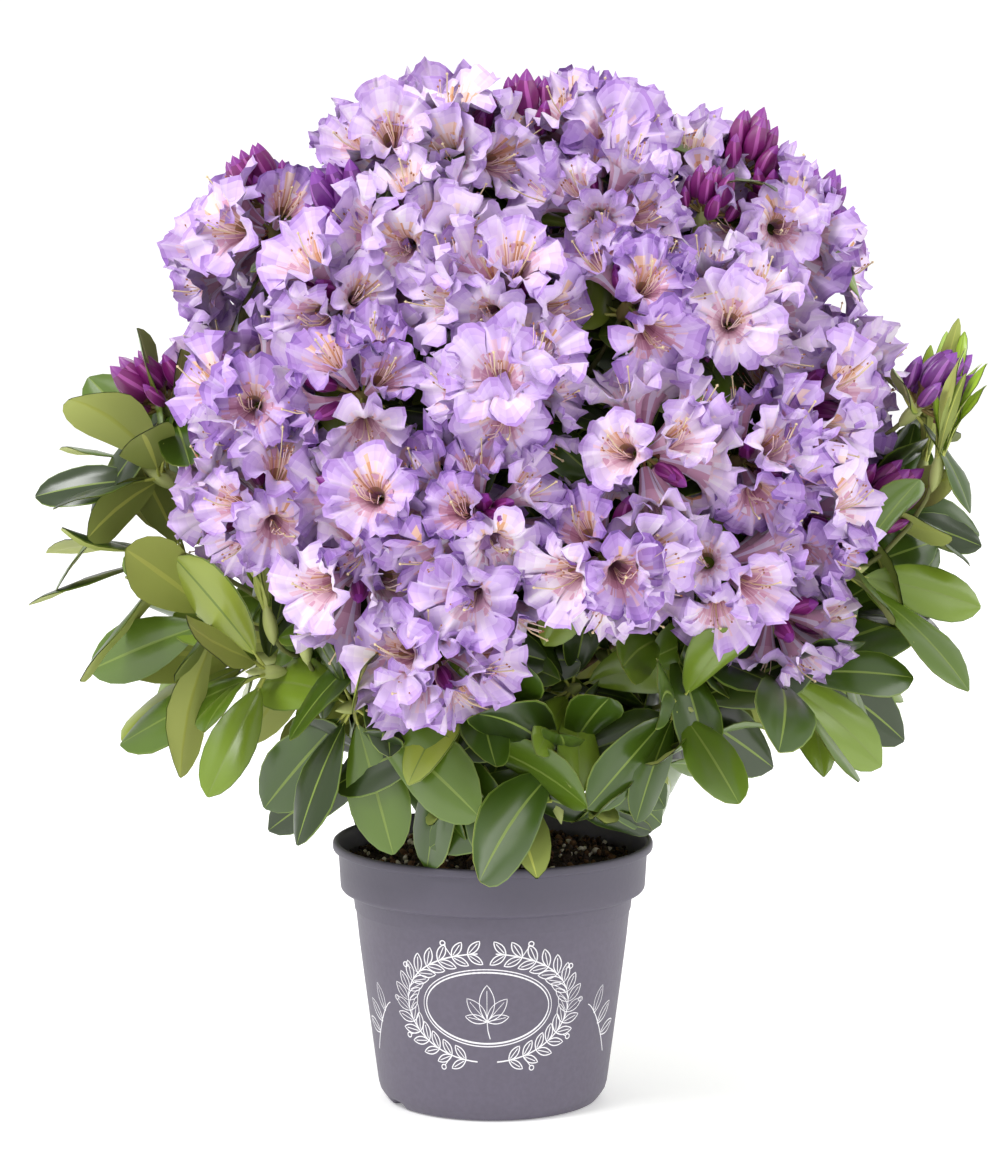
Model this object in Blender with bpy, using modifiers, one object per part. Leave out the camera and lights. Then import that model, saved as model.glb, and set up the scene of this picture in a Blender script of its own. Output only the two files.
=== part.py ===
"""A rhododendron in flower, in its nursery pot.

Pot, compost, one short trunk, a bough for each mass, and the masses of leaves and blossom.
Metres, +Z up. The origin is the centre of the pot's flat underside, and the front faces -Y.
Bearings are degrees round the plant: 0 at the front, 90 at +X, 180 at the back.
"""

import math

import bmesh
import bpy
import numpy as np
from mathutils.bvhtree import BVHTree

# Air left between pieces that meet
GAP = 0.0003
SEED = 11
UP = np.array([0.0, 0.0, 1.0])

# Pot: a five-litre container with a rolled lip and a stacking band
POT_HEIGHT = 0.190
LIP_RADIUS = 0.1158
LIP_DEPTH = 0.0062
BAND_TOP_RADIUS = 0.1118
BAND_FOOT_RADIUS = 0.1103
BAND_FOOT = 0.1565
BODY_TOP_RADIUS = 0.1012
BODY_TOP = 0.1525
RING_HEIGHT = 0.1410
BODY_FOOT_RADIUS = 0.0842
BODY_FOOT = 0.0200
BASE_RADIUS = 0.0745
WALL = 0.0020
FLOOR = 0.0065
POT_STEPS = 32
LIP_ROUND = (
    # inward of the lip's radius, and below its top
    (0.0042, 0.0010), (0.0028, 0.0), (0.0008, 0.0005),
    (0.0, 0.0020), (0.0, 0.0050), (0.0010, LIP_DEPTH),
)
UNDER_LIP = 0.0008
BAND_ROUND = 0.0015
RING_STEP = 0.0012
FOOT_ROUND = (
    # outward of the base, and its height
    (0.0075, 0.0085), (0.0032, 0.0022), (0.0, 0.0),
)
NOTCH_RADIUS = 0.0080
NOTCH_RISE = 0.0042
NOTCH_DEPTH = 0.020
NOTCH_BEARINGS = (-62, 118)

# Compost, 15 mm under the lip
COMPOST_TOP = 0.1750
COMPOST_SHOULDER = 0.1725
COMPOST_LEVEL = 0.030

# Trunk
TRUNK_TOP = 0.372
TRUNK_RADIUS = 0.0092
TRUNK_TIP_RADIUS = 0.0050
FLARE_RADIUS = 0.0150
FLARE_HEIGHT = 0.022
TRUNK_LEAN = (0.012, 0.004)
TRUNK_SLOPE = 0.15

# Boughs leave the trunk between these two heights, the highest masses from the top
BOUGH_LOW = 0.215
BOUGH_HIGH = 0.360
BOUGH_STAGGER = 0.006
BOUGH_RADIUS = 0.0034
BOUGH_TIP_RADIUS = 0.0026
SEAT_SHARE = 0.42
FORK_SHARE = 0.60
BOUGH_BULGE = 0.12
BOUGH_DIP = 0.012

# Crown: shoots are placed by bearing, rise and distance from this point
HEART = np.array([0.020, 0.0, 0.440])
TWIG_RADIUS = 0.0022
TWIG_TIP_RADIUS = 0.0016
FORK_KNOT = 0.0055
STEM_STRAIGHT = 0.008
TWIG_SWEEP = 0.45
SHOOT_LIFT = {"truss": 0.10, "buds": 0.75, "leafy": 0.55, "young": 5.0}
KNOT_FOOT = 0.018
KNOT_TIP = 0.012
KNOT_RADIUS = 0.0070

# A truss: blooms stand on the faces of a twelve-sided heart, each a funnel with five corners
TRUSS_HEART = 0.0115
HEART_ROOM = 1.2
RING_TILTS = (37.377, 79.188, 100.812, 142.623)
BLOOM_THROAT = 0.029
BLOOM_REACH = 0.052
LOBE_RADIUS = 0.0285
LOBES = 5
BLOOM_SIZES = (1.0, 0.9, 0.8, 0.7)
BLOOMS = 6

# Flower buds: one in the middle of a ring
BUD_TILT = math.radians(26)
BUD_LENGTH = 0.047
BUD_WAIST = 0.031
BUD_RADIUS = 0.0068
BUD_FOOT = 0.004
BUDS_ROUND = 5

# Leaves
LEAF_THICK = 0.0020
LEAF_FOLD = 0.16
LEAF_START = 0.002
LEAF_DROP = {"truss": 0.0085, "buds": 0.004, "leafy": 0.004, "young": 0.004}
FACE_TO_LIGHT = 0.25
WHORL_JITTER = 0.5
LEAF_SIZES = (1.0, 0.85, 0.70)
KINDS = {
    # leaves, least and most tilt from the shoot, least and most length, width over length, sag
    "truss": (3, 98, 116, 0.070, 0.092, 0.37, 0.02),
    "buds": (4, 50, 92, 0.070, 0.092, 0.37, 0.12),
    "leafy": (6, 50, 98, 0.078, 0.112, 0.38, 0.20),
    "young": (6, 4, 22, 0.080, 0.120, 0.16, 0.04),
}
LEAF_STATIONS = {
    # where along the leaf its section is taken, and its width there
    "truss": ((0.52, 1.0),),
    "buds": ((0.52, 1.0),),
    "leafy": ((0.15, 0.12), (0.56, 1.0)),
    "young": ((0.52, 1.0),),
}

# Foliage masses in view: each shoot is (kind, bearing, rise, millimetres from the heart)
FRONT = {
    "top_left": (("truss", -62, 67, 261), ("truss", -40, 76, 247), ("buds", 8, 84, 259),
                 ("truss", -140, 70, 254)),
    "top_right": (("truss", 60, 76, 250), ("truss", 104, 66, 230), ("truss", 150, 68, 252)),
    "left_shoulder": (("truss", -84, 47, 258), ("truss", -104, 38, 258)),
    "upper_left": (("truss", -33, 56, 228), ("truss", -46, 41, 222), ("truss", -34, 24, 212)),
    "upper_front": (("truss", -4, 43, 218), ("truss", 30, 61, 232), ("truss", 26, 42, 220)),
    "right_shoulder": (("truss", 80, 48, 260), ("truss", 104, 37, 250), ("truss", 96, 60, 245),
                       ("buds", 84, 56, 278)),
    "front_middle": (("truss", -3, 26, 207), ("truss", -8, 3, 206), ("truss", 24, 14, 205)),
    "right_upper": (("truss", 53, 36, 220), ("truss", 67, 20, 216), ("truss", 46, 11, 212)),
    "right_middle": (("truss", 90, 19, 226), ("buds", 86, 13, 290)),
    "left_front": (("truss", -63, 20, 216), ("truss", -56, 2, 212), ("buds", -84, 15, 262)),
    "low_front": (("truss", -27, 5, 206), ("truss", -18, -24, 208)),
    "low_front_right": (("truss", 16, -5, 204), ("truss", 39, -8, 209)),
    "right_front": (("truss", 62, -1, 208), ("truss", 60, -19, 211), ("buds", 84, -2, 244)),
    "left_skirt": (("leafy", -84, 4, 262), ("leafy", -88, -10, 248), ("leafy", -76, -20, 238),
                   ("leafy", -66, -30, 230)),
    "front_skirt": (("leafy", -43, -37, 220), ("leafy", -17, -46, 214), ("leafy", 12, -50, 222)),
    "right_skirt": (("young", 90, 4, 288), ("leafy", 94, -3, 241), ("leafy", 81, -12, 243),
                    ("leafy", 94, -22, 238)),
    "front_right_skirt": (("leafy", 38, -36, 222), ("leafy", 62, -29, 234)),
}

# Foliage masses out of view follow a rule: columns of trusses, and a double row of leafy shoots
BACK_COLUMNS = {"back_right_side": 115, "back_right": 141, "back_mid_right": 167,
                "back_mid_left": 193, "back_left": 219, "back_left_side": 245}
BACK_RISES = (45, 20, -4)
BACK_REACHES = (240, 224, 216)
BACK_STAGGER = (5, -5, 4)
BACK_SKIRTS = {"back_right_skirt": 117, "back_skirt": 180, "back_left_skirt": 243}
SKIRT_STEP = 21
SKIRT_RISES = (-32, -14, -32)
SKIRT_REACHES = (228, 240, 228)

# A piece is tested this much to every side before it is added
CLEARANCE = 0.0004
NEAR = 0.001


def crown_plan():
    """Every mass by name, as a list of shoots."""
    plan = dict(FRONT)
    for row, (name, bearing) in enumerate(BACK_COLUMNS.items()):
        swing = -1 if row % 2 else 1
        plan[name] = tuple(
            ("truss", bearing + swing * shift, rise + swing * 3, reach)
            for rise, reach, shift in zip(BACK_RISES, BACK_REACHES, BACK_STAGGER)
        )
    for name, bearing in BACK_SKIRTS.items():
        plan[name] = tuple(
            ("leafy", bearing + (k - 1) * SKIRT_STEP, rise, reach)
            for k, (rise, reach) in enumerate(zip(SKIRT_RISES, SKIRT_REACHES))
        )
    return plan


def unit(v):
    """The vector at length one."""
    return v / np.linalg.norm(v)


def toward(bearing, rise):
    """The unit vector at a bearing and a rise, both in degrees."""
    b = math.radians(bearing)
    r = math.radians(rise)
    return np.array([math.sin(b) * math.cos(r), -math.cos(b) * math.cos(r), math.sin(r)])


def across(aim):
    """Two unit vectors square to aim, the first one level."""
    side = np.cross(UP, aim)
    if np.linalg.norm(side) < 0.05:
        side = np.array([1.0, 0.0, 0.0])
    side = unit(side)
    return side, np.cross(aim, side)


def turned_about(aim, tilt, turn):
    """The unit vector tilted away from aim, turned round it."""
    side, rise = across(aim)
    ring = math.cos(turn) * side + math.sin(turn) * rise
    return math.cos(tilt) * aim + math.sin(tilt) * ring


def shoot_aim(bearing, rise, kind):
    """A shoot grows out from the heart and turns up towards the light, the young ones most."""
    return unit(toward(bearing, rise) + SHOOT_LIFT[kind] * UP)


def whorl(kind, centre, aim, draws):
    """The leaves of a shoot, as (root, heading, face, length, width over length, sag, stations)."""
    count, low, high, short, long, share, sag = KINDS[kind]
    leaves = []
    for k in range(count):
        a, b, c, d = draws[k]
        turn = 2 * math.pi * (draws[0][0] + k / count) + (a - 0.5) * WHORL_JITTER
        tilt = math.radians(low + (high - low) * b)
        heading = turned_about(aim, tilt, turn)
        face = unit(aim - heading * (aim @ heading) + FACE_TO_LIGHT * UP)
        face = unit(face - heading * (face @ heading))
        root = centre - aim * LEAF_DROP[kind] + heading * LEAF_START
        length = short + (long - short) * c
        leaves.append((root, heading, face, length, share, sag * (0.5 + d), LEAF_STATIONS[kind]))
    return leaves


def material(name, colour, roughness):
    """A Principled material of one colour."""
    made = bpy.data.materials.new(name)
    made.use_nodes = True
    shader = made.node_tree.nodes["Principled BSDF"]
    shader.inputs["Base Color"].default_value = (*colour, 1.0)
    shader.inputs["Roughness"].default_value = roughness
    return made


def placed(name, mesh, collection, colour):
    """An object for the mesh, in the collection, with its material."""
    obj = bpy.data.objects.new(name, mesh)
    collection.objects.link(obj)
    mesh.materials.clear()
    mesh.materials.append(colour)
    return obj


def turned(name, profile, steps, collection, colour):
    """A solid turned round Z from (radius, height) points that run down its outer side."""
    mesh = bpy.data.meshes.new(name)
    points = [(radius, 0.0, height) for radius, height in profile]
    mesh.from_pydata(points, [(i, i + 1) for i in range(len(points) - 1)], [])
    obj = placed(name, mesh, collection, colour)
    screw = obj.modifiers.new("Turn", "SCREW")
    screw.steps = steps
    screw.render_steps = steps
    screw.use_merge_vertices = True
    screw.merge_threshold = 0.0001
    return obj


def inner_wall():
    """The inside of the pot, from the lip down to the floor, as (radius, height)."""
    return [
        (BAND_TOP_RADIUS - WALL, POT_HEIGHT - LIP_DEPTH),
        (BAND_FOOT_RADIUS - WALL, BAND_FOOT + WALL),
        (BODY_TOP_RADIUS - WALL, BODY_TOP - WALL),
        (BODY_FOOT_RADIUS - WALL, BODY_FOOT),
        (BASE_RADIUS - WALL, FLOOR),
    ]


def build_pot(collection, cutters):
    """The pot: a turned shell with a rolled lip, a stacking band, and drain notches in its foot."""
    inside = [(0.0, FLOOR)] + inner_wall()[::-1]
    lip = [(LIP_RADIUS - inward, POT_HEIGHT - below) for inward, below in LIP_ROUND]
    outside = [
        (BAND_TOP_RADIUS, POT_HEIGHT - LIP_DEPTH - UNDER_LIP),
        (BAND_FOOT_RADIUS, BAND_FOOT),
        (BAND_FOOT_RADIUS - BAND_ROUND, BAND_FOOT - WALL),
        (BODY_TOP_RADIUS, BODY_TOP),
        (BODY_TOP_RADIUS - RING_STEP, RING_HEIGHT),
        (BODY_TOP_RADIUS - RING_STEP * 2, RING_HEIGHT - RING_STEP),
        (BODY_FOOT_RADIUS, BODY_FOOT),
    ]
    outside += [(BASE_RADIUS + outward, height) for outward, height in FOOT_ROUND]
    outside.append((0.0, 0.0))
    colour = material("pot_plastic", (0.195, 0.160, 0.225), 0.45)
    pot = turned("pot", inside + lip + outside, POT_STEPS, collection, colour)
    for bearing in NOTCH_BEARINGS:
        mesh = bpy.data.meshes.new("notch")
        shape = bmesh.new()
        bmesh.ops.create_cone(shape, cap_ends=True, segments=16, radius1=NOTCH_RADIUS,
                              radius2=NOTCH_RADIUS, depth=NOTCH_DEPTH)
        shape.to_mesh(mesh)
        shape.free()
        cutter = bpy.data.objects.new(f"notch_{bearing}", mesh)
        cutter.rotation_euler = (math.pi / 2, 0.0, math.radians(bearing))
        out = toward(bearing, 0) * (BASE_RADIUS + WALL)
        cutter.location = (out[0], out[1], NOTCH_RISE - NOTCH_RADIUS)
        cutter.hide_render = True
        cutter.display_type = "WIRE"
        cutters.objects.link(cutter)
        cut = pot.modifiers.new("Drain notch", "BOOLEAN")
        cut.operation = "DIFFERENCE"
        cut.object = cutter


def build_compost(collection):
    """The compost: what fills the pot, clear of its wall by the gap."""
    clear = GAP * 1.5
    wall = [(radius - clear, height) for radius, height in inner_wall() if height < COMPOST_SHOULDER]
    top_radius = BAND_FOOT_RADIUS - WALL - clear
    profile = [(0.0, COMPOST_TOP), (COMPOST_LEVEL, COMPOST_TOP), (top_radius, COMPOST_SHOULDER)]
    foot = [(BASE_RADIUS - WALL - clear, FLOOR + clear), (0.0, FLOOR + clear)]
    colour = material("compost", (0.030, 0.018, 0.011), 0.95)
    turned("compost", profile + wall[:-1] + foot, POT_STEPS, collection, colour)


def trunk_at(height):
    """The trunk's axis and radius at a height: it leans a little and tapers from a flared root."""
    share = (height - COMPOST_TOP) / (TRUNK_TOP - COMPOST_TOP)
    bend = 1 - math.cos(share * math.pi / 2)
    centre = np.array([TRUNK_LEAN[0] * bend, TRUNK_LEAN[1] * bend, height])
    radius = TRUNK_RADIUS + (TRUNK_TIP_RADIUS - TRUNK_RADIUS) * share
    flare = max(0.0, 1 - (height - COMPOST_TOP) / FLARE_HEIGHT)
    return centre, radius + (FLARE_RADIUS - TRUNK_RADIUS) * flare**2


def limb(name, points, radii, sides_resolution, collection, colour):
    """A tapering limb: a curve through the points, with flat ends."""
    curve = bpy.data.curves.new(name, "CURVE")
    curve.dimensions = "3D"
    curve.bevel_depth = radii[0]
    curve.bevel_resolution = sides_resolution
    curve.use_fill_caps = True
    spline = curve.splines.new("POLY")
    spline.points.add(len(points) - 1)
    for place, point, radius in zip(spline.points, points, radii):
        place.co = (*point, 1.0)
        place.radius = radius / radii[0]
    obj = bpy.data.objects.new(name, curve)
    collection.objects.link(obj)
    curve.materials.append(colour)
    return obj


def build_trunk(collection, colour):
    """The trunk, from a flat cut on the compost to its tip."""
    heights = [COMPOST_TOP + GAP] + [COMPOST_TOP + rise for rise in (0.005, 0.012, 0.022, 0.060)]
    heights += [0.280, 0.330, TRUNK_TOP]
    stations = [trunk_at(height) for height in heights]
    return limb("trunk", [s[0] for s in stations], [s[1] for s in stations], 3, collection, colour)


def bend_of(start, middle, end, steps):
    """Points on the quadratic curve from start to end, drawn towards middle."""
    t = np.linspace(0, 1, steps)[:, None]
    return (1 - t) ** 2 * start + 2 * t * (1 - t) * middle + t**2 * end


def bough_route(shoots, height):
    """The bough's points, from just clear of the trunk to its seat, and the mass's fork."""
    centres = np.array([HEART + toward(b, r) * reach / 1000 for _, b, r, reach in shoots])
    goal = centres.mean(axis=0)
    centre, radius = trunk_at(height)
    away = goal - centre
    level = unit(away * np.array([1, 1, 0]))
    seat = centre + away * SEAT_SHARE
    fork = centre + away * FORK_SHARE
    middle = (centre + seat) / 2 + level * np.linalg.norm(away) * BOUGH_BULGE - UP * BOUGH_DIP
    slope = unit(middle - centre)
    start = centre + level * (radius + GAP + BOUGH_RADIUS * (abs(slope[2]) + TRUNK_SLOPE))
    return bend_of(start, middle, seat, 5), fork


def twig_solid(points, radii, turn):
    """A three-sided twig along the points, closed at both ends."""
    count = len(points)
    rings = []
    for k in range(count):
        ahead = unit(points[min(k + 1, count - 1)] - points[max(k - 1, 0)])
        side, rise = across(ahead)
        for corner in range(3):
            angle = turn + corner * 2 * math.pi / 3
            rings.append(points[k] + radii[k] * (math.cos(angle) * side + math.sin(angle) * rise))
    faces = [(2, 1, 0), (3 * count - 3, 3 * count - 2, 3 * count - 1)]
    for k in range(count - 1):
        for corner in range(3):
            a = 3 * k + corner
            b = 3 * k + (corner + 1) % 3
            faces += [(a, b, b + 3), (a, b + 3, a + 3)]
    return np.array(rings), faces


def spindle_solid(centre, aim, foot, tip, radius, sides, turn):
    """Two pyramids base to base along aim: a whorl's knot, the heart of a truss, or a bud."""
    ring = [centre + radius * turned_about(aim, math.pi / 2, turn + k * 2 * math.pi / sides)
            for k in range(sides)]
    points = [centre - aim * foot, centre + aim * tip] + ring
    faces = []
    for k in range(sides):
        a = 2 + k
        b = 2 + (k + 1) % sides
        faces += [(0, b, a), (1, a, b)]
    return np.array(points), faces


def heart_of(centre, aim, turn):
    """The twelve-sided heart of a truss: its points, and its faces from the top one down."""
    points = []
    for ring, tilt in enumerate(RING_TILTS):
        for k in range(LOBES):
            angle = turn + (k + 0.5 * (ring > 1)) * 2 * math.pi / LOBES
            points.append(centre + TRUSS_HEART * turned_about(aim, math.radians(tilt), angle))
    after = [(k + 1) % LOBES for k in range(LOBES)]
    faces = [tuple(range(LOBES))]
    faces += [(k, 5 + k, 10 + k, 5 + after[k], after[k]) for k in range(LOBES)]
    faces += [(5 + after[k], 10 + k, 15 + k, 15 + after[k], 10 + after[k]) for k in range(LOBES)]
    faces.append((19, 18, 17, 16, 15))
    return points, faces


def bloom_of(centre, corners, size):
    """A bloom on a face of the heart: its rim points and its throat."""
    ray = unit(np.mean(corners, axis=0) - centre)
    rim = []
    for corner in corners:
        out = corner - centre
        out = unit(out - ray * (ray @ out))
        rim.append(centre + (ray * BLOOM_REACH + out * LOBE_RADIUS) * size)
    return rim, centre + ray * BLOOM_THROAT * size


def funnel_faces(face, first):
    """The triangles of a funnel drawn out of a face: its five sides, and its mouth."""
    faces = []
    for k in range(LOBES):
        n = (k + 1) % LOBES
        faces += [(face[k], face[n], first + n), (face[k], first + n, first + k),
                  (first + LOBES, first + k, first + n)]
    return faces


def bloom_solid(centre, corners, size):
    """A bloom by itself, closed across its foot."""
    rim, throat = bloom_of(centre, corners, size)
    foot = tuple(range(LOBES))
    faces = funnel_faces(foot, LOBES) + [foot[::-1]]
    return np.array(list(corners) + rim + [throat]), faces


def truss_solid(centre, points, heart, sizes):
    """The heart with a funnel drawn out of every face that has a size."""
    points = list(points)
    faces = []
    for face, size in zip(heart, sizes):
        if not size:
            faces += [(face[0], face[k], face[k + 1]) for k in range(1, LOBES - 1)]
            continue
        rim, throat = bloom_of(centre, [points[k] for k in face], size)
        faces += funnel_faces(face, len(points))
        points += rim + [throat]
    return np.array(points), faces


def leaf_solid(leaf, size):
    """A folded blade, thickest at its midrib, that sags along a parabola."""
    root, heading, face, length, share, sag, stations = leaf
    length = length * size
    side = np.cross(heading, face)

    def midrib(t):
        return root + heading * length * t - UP * sag * length * t**2

    points = [midrib(0.0)]
    for t, wide in stations:
        half = length * share * wide / 2
        lift = face * half * LEAF_FOLD
        middle = midrib(t)
        points += [middle + side * half + lift, middle + face * LEAF_THICK / 2,
                   middle - side * half + lift, middle - face * LEAF_THICK / 2]
    tip = len(points)
    points.append(midrib(1.0))
    faces = []
    for k in range(4):
        a = 1 + k
        b = 1 + (k + 1) % 4
        faces += [(0, a, b), (tip, tip - 4 + b - 1, tip - 4 + a - 1)]
        if len(stations) == 2:
            faces += [(a, a + 4, b + 4), (a, b + 4, b)]
    return np.array(points), faces


class Space:
    """What has grown so far, so that a piece of one mass never touches another mass or a limb."""

    SHIFTS = [np.zeros(3)] + [s * CLEARANCE * np.eye(3)[k] for s in (-1, 1) for k in range(3)]

    def __init__(self):
        self.owners = []
        self.trees = []
        self.boxes = []

    def keep(self, owner, points, faces):
        self.owners.append(owner)
        self.trees.append(BVHTree.FromPolygons(points.tolist(), faces))
        self.boxes.append(np.concatenate([points.min(axis=0), points.max(axis=0)]))

    def clear(self, owner, points, faces):
        """Whether the piece stays clear of everything that isn't its owner's."""
        boxes = np.array(self.boxes)
        near = (boxes[:, :3] < points.max(axis=0) + NEAR).all(axis=1)
        near &= (boxes[:, 3:] > points.min(axis=0) - NEAR).all(axis=1)
        own = (owner, owner.split(" shoot")[0])
        others = [i for i in np.flatnonzero(near) if self.owners[i] not in own]
        if not others:
            return True
        for shift in self.SHIFTS:
            tree = BVHTree.FromPolygons((points + shift).tolist(), faces)
            if any(tree.overlap(self.trees[i]) for i in others):
                return False
        return True

    def first_clear(self, owner, make, sizes):
        """Keeps the piece at the first size that is clear, and gives that size, or 0."""
        for size in sizes:
            piece = make(size)
            if self.clear(owner, *piece):
                self.keep(owner, *piece)
                return size
        return 0.0


def evaluated_triangles(obj):
    """An object's world points and triangles, as evaluated."""
    made = obj.evaluated_get(bpy.context.evaluated_depsgraph_get())
    mesh = made.to_mesh()
    mesh.calc_loop_triangles()
    points = np.array([obj.matrix_world @ v.co for v in mesh.vertices])
    faces = [tuple(t.vertices) for t in mesh.loop_triangles]
    made.to_mesh_clear()
    return points, faces


def grow_wood(space, name, shoots, route, fork):
    """A mass's stem and twigs, each twig ending in the knot of its shoot."""
    pieces = []
    seat = route[-1]
    ahead = unit(route[-1] - route[-2])
    start = seat + ahead * GAP
    pieces.append(twig_solid([start, start + ahead * STEM_STRAIGHT, fork], [TWIG_RADIUS] * 3, 0.3))
    pieces.append(spindle_solid(fork, unit(fork - start), FORK_KNOT, FORK_KNOT, FORK_KNOT, 4, 0.5))
    for k, (kind, bearing, rise, reach) in enumerate(shoots):
        centre = HEART + toward(bearing, rise) * reach / 1000
        aim = shoot_aim(bearing, rise, kind)
        span = np.linalg.norm(centre - fork)
        points = bend_of(fork, centre - aim * span * TWIG_SWEEP, centre, 3)
        radii = np.linspace(TWIG_RADIUS, TWIG_TIP_RADIUS, 3)
        pieces.append(twig_solid(points, radii, k * 0.7))
        if kind == "truss":
            points, heart = heart_of(centre, aim, 0.0)
            space.keep(name, centre + (np.array(points) - centre) * HEART_ROOM, heart)
        else:
            pieces.append(spindle_solid(centre, aim, KNOT_FOOT, KNOT_TIP, KNOT_RADIUS, 4, k))
    for piece in pieces:
        space.keep(name, *piece)
    return pieces


def grow_truss(space, owner, centre, aim, turn):
    """A truss: one bloom in the middle and five round it, each as large as fits."""
    points, heart = heart_of(centre, aim, turn)
    sizes = []
    for face in heart[:BLOOMS]:
        corners = [points[i] for i in face]
        sizes.append(space.first_clear(
            f"{owner} blossom", lambda size: bloom_solid(centre, corners, size), BLOOM_SIZES))
    sizes += [0.0] * (len(heart) - BLOOMS)
    return truss_solid(centre, points, heart, sizes)


def bud_rays(aim, turn):
    """The way each flower bud of a group points: one along the shoot and five round it."""
    turns = [turn + k * 2 * math.pi / BUDS_ROUND for k in range(BUDS_ROUND)]
    return [aim] + [turned_about(aim, BUD_TILT, each) for each in turns]


def grow_mass(space, name, shoots, pieces, first_shoot):
    """A mass's blossom, buds and leaves. What would leave its space is made smaller, or skipped."""
    for k, (kind, bearing, rise, reach) in enumerate(shoots):
        rng = np.random.default_rng(SEED + first_shoot + k)
        draws = rng.random((8, 4))
        turn = rng.random() * 2 * math.pi
        centre = HEART + toward(bearing, rise) * reach / 1000
        aim = shoot_aim(bearing, rise, kind)
        owner = f"{name} shoot {k}"
        if kind == "truss":
            pieces.append(grow_truss(space, owner, centre, aim, turn))
        if kind == "buds":
            for ray in bud_rays(aim, turn):
                bud = spindle_solid(centre + ray * BUD_WAIST, ray, BUD_WAIST - BUD_FOOT,
                                    BUD_LENGTH - BUD_WAIST, BUD_RADIUS, 4, turn)
                if space.clear(owner, *bud):
                    space.keep(owner, *bud)
                    pieces.append(bud)
        for leaf in whorl(kind, centre, aim, draws):
            size = space.first_clear(owner, lambda size: leaf_solid(leaf, size), LEAF_SIZES)
            if size:
                pieces.append(leaf_solid(leaf, size))


def main_shell(mesh):
    """Keeps only the largest closed surface: hollows are filled and scraps dropped."""
    shape = bmesh.new()
    shape.from_mesh(mesh)
    left = set(shape.faces)
    shells = []
    while left:
        shell = set()
        front = [left.pop()]
        while front:
            face = front.pop()
            shell.add(face)
            for edge in face.edges:
                for other in edge.link_faces:
                    if other in left:
                        left.remove(other)
                        front.append(other)
        shells.append(shell)
    largest = max(shells, key=len)
    spare = [face for shell in shells if shell is not largest for face in shell]
    bmesh.ops.delete(shape, geom=spare, context="FACES")
    loose = [v for v in shape.verts if not v.link_faces]
    bmesh.ops.delete(shape, geom=loose, context="VERTS")
    shape.to_mesh(mesh)
    shape.free()


def mesh_of(name, points, faces):
    """A mesh from points and triangles."""
    mesh = bpy.data.meshes.new(name)
    mesh.from_pydata(points.tolist(), [], faces)
    return mesh


def join_mass(name, pieces, collection, colour):
    """One Boolean union of the mass's stem with all that grows on it."""
    others = bpy.data.collections.new("joined")
    bpy.context.scene.collection.children.link(others)
    for points, faces in pieces[1:]:
        others.objects.link(bpy.data.objects.new("piece", mesh_of("piece", points, faces)))
    mass = placed(name, mesh_of(name, *pieces[0]), collection, colour)
    union = mass.modifiers.new("Join", "BOOLEAN")
    union.operation = "UNION"
    union.operand_type = "COLLECTION"
    union.collection = others
    union.solver = "MANIFOLD"
    bpy.context.view_layer.update()
    joined = bpy.data.meshes.new_from_object(
        mass.evaluated_get(bpy.context.evaluated_depsgraph_get())
    )
    mass.modifiers.clear()
    mass.data = joined
    joined.name = name
    joined.materials.clear()
    joined.materials.append(colour)
    for piece in list(others.objects):
        bpy.data.objects.remove(piece)
    bpy.data.collections.remove(others)
    main_shell(joined)


def build():
    """Clears the scene and models the whole plant."""
    for obj in list(bpy.data.objects):
        bpy.data.objects.remove(obj)
    plant = bpy.data.collections.new("rhododendron")
    cutters = bpy.data.collections.new("cutters")
    for collection in (plant, cutters):
        bpy.context.scene.collection.children.link(collection)
    bark = material("bark", (0.150, 0.095, 0.055), 0.85)
    blossom = material("blossom", (0.500, 0.330, 0.720), 0.55)
    leaves = material("leaves", (0.045, 0.110, 0.030), 0.40)
    build_pot(plant, cutters)
    build_compost(plant)
    build_trunk(plant, bark)
    plan = crown_plan()
    rises = {name: np.mean([shoot[2] for shoot in shoots]) for name, shoots in plan.items()}
    low = min(rises.values())
    high = max(rises.values())
    routes = {}
    for row, (name, shoots) in enumerate(plan.items()):
        share = (rises[name] - low) / (high - low)
        height = BOUGH_LOW + (BOUGH_HIGH - BOUGH_LOW) * share + BOUGH_STAGGER * (row % 2)
        routes[name], fork = bough_route(shoots, height)
        radii = np.linspace(BOUGH_RADIUS, BOUGH_TIP_RADIUS, len(routes[name]))
        limb(f"bough_{name}", routes[name], radii, 0, plant, bark)
        routes[name] = (routes[name], fork)
    bpy.context.view_layer.update()
    space = Space()
    for obj in plant.objects:
        space.keep(obj.name, *evaluated_triangles(obj))
    masses = {}
    for name, shoots in plan.items():
        masses[name] = grow_wood(space, name, shoots, *routes[name])
    first_shoot = 0
    for name, shoots in plan.items():
        grow_mass(space, name, shoots, masses[name], first_shoot)
        first_shoot += len(shoots)
        flowering = any(shoot[0] == "truss" for shoot in shoots)
        colour = blossom if flowering else leaves
        join_mass(f"foliage_{name}", masses[name], plant, colour)


build()
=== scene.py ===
"""A rhododendron in full lilac flower, in its nursery pot: the looks.

The shoots stand where the solids have them, and grow by the same seeded rule: a bough and a twig
to each, then a truss of blooms, a group of buds or a whorl of leaves. Metres, +Z up, front at -Y.
"""

import math

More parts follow.
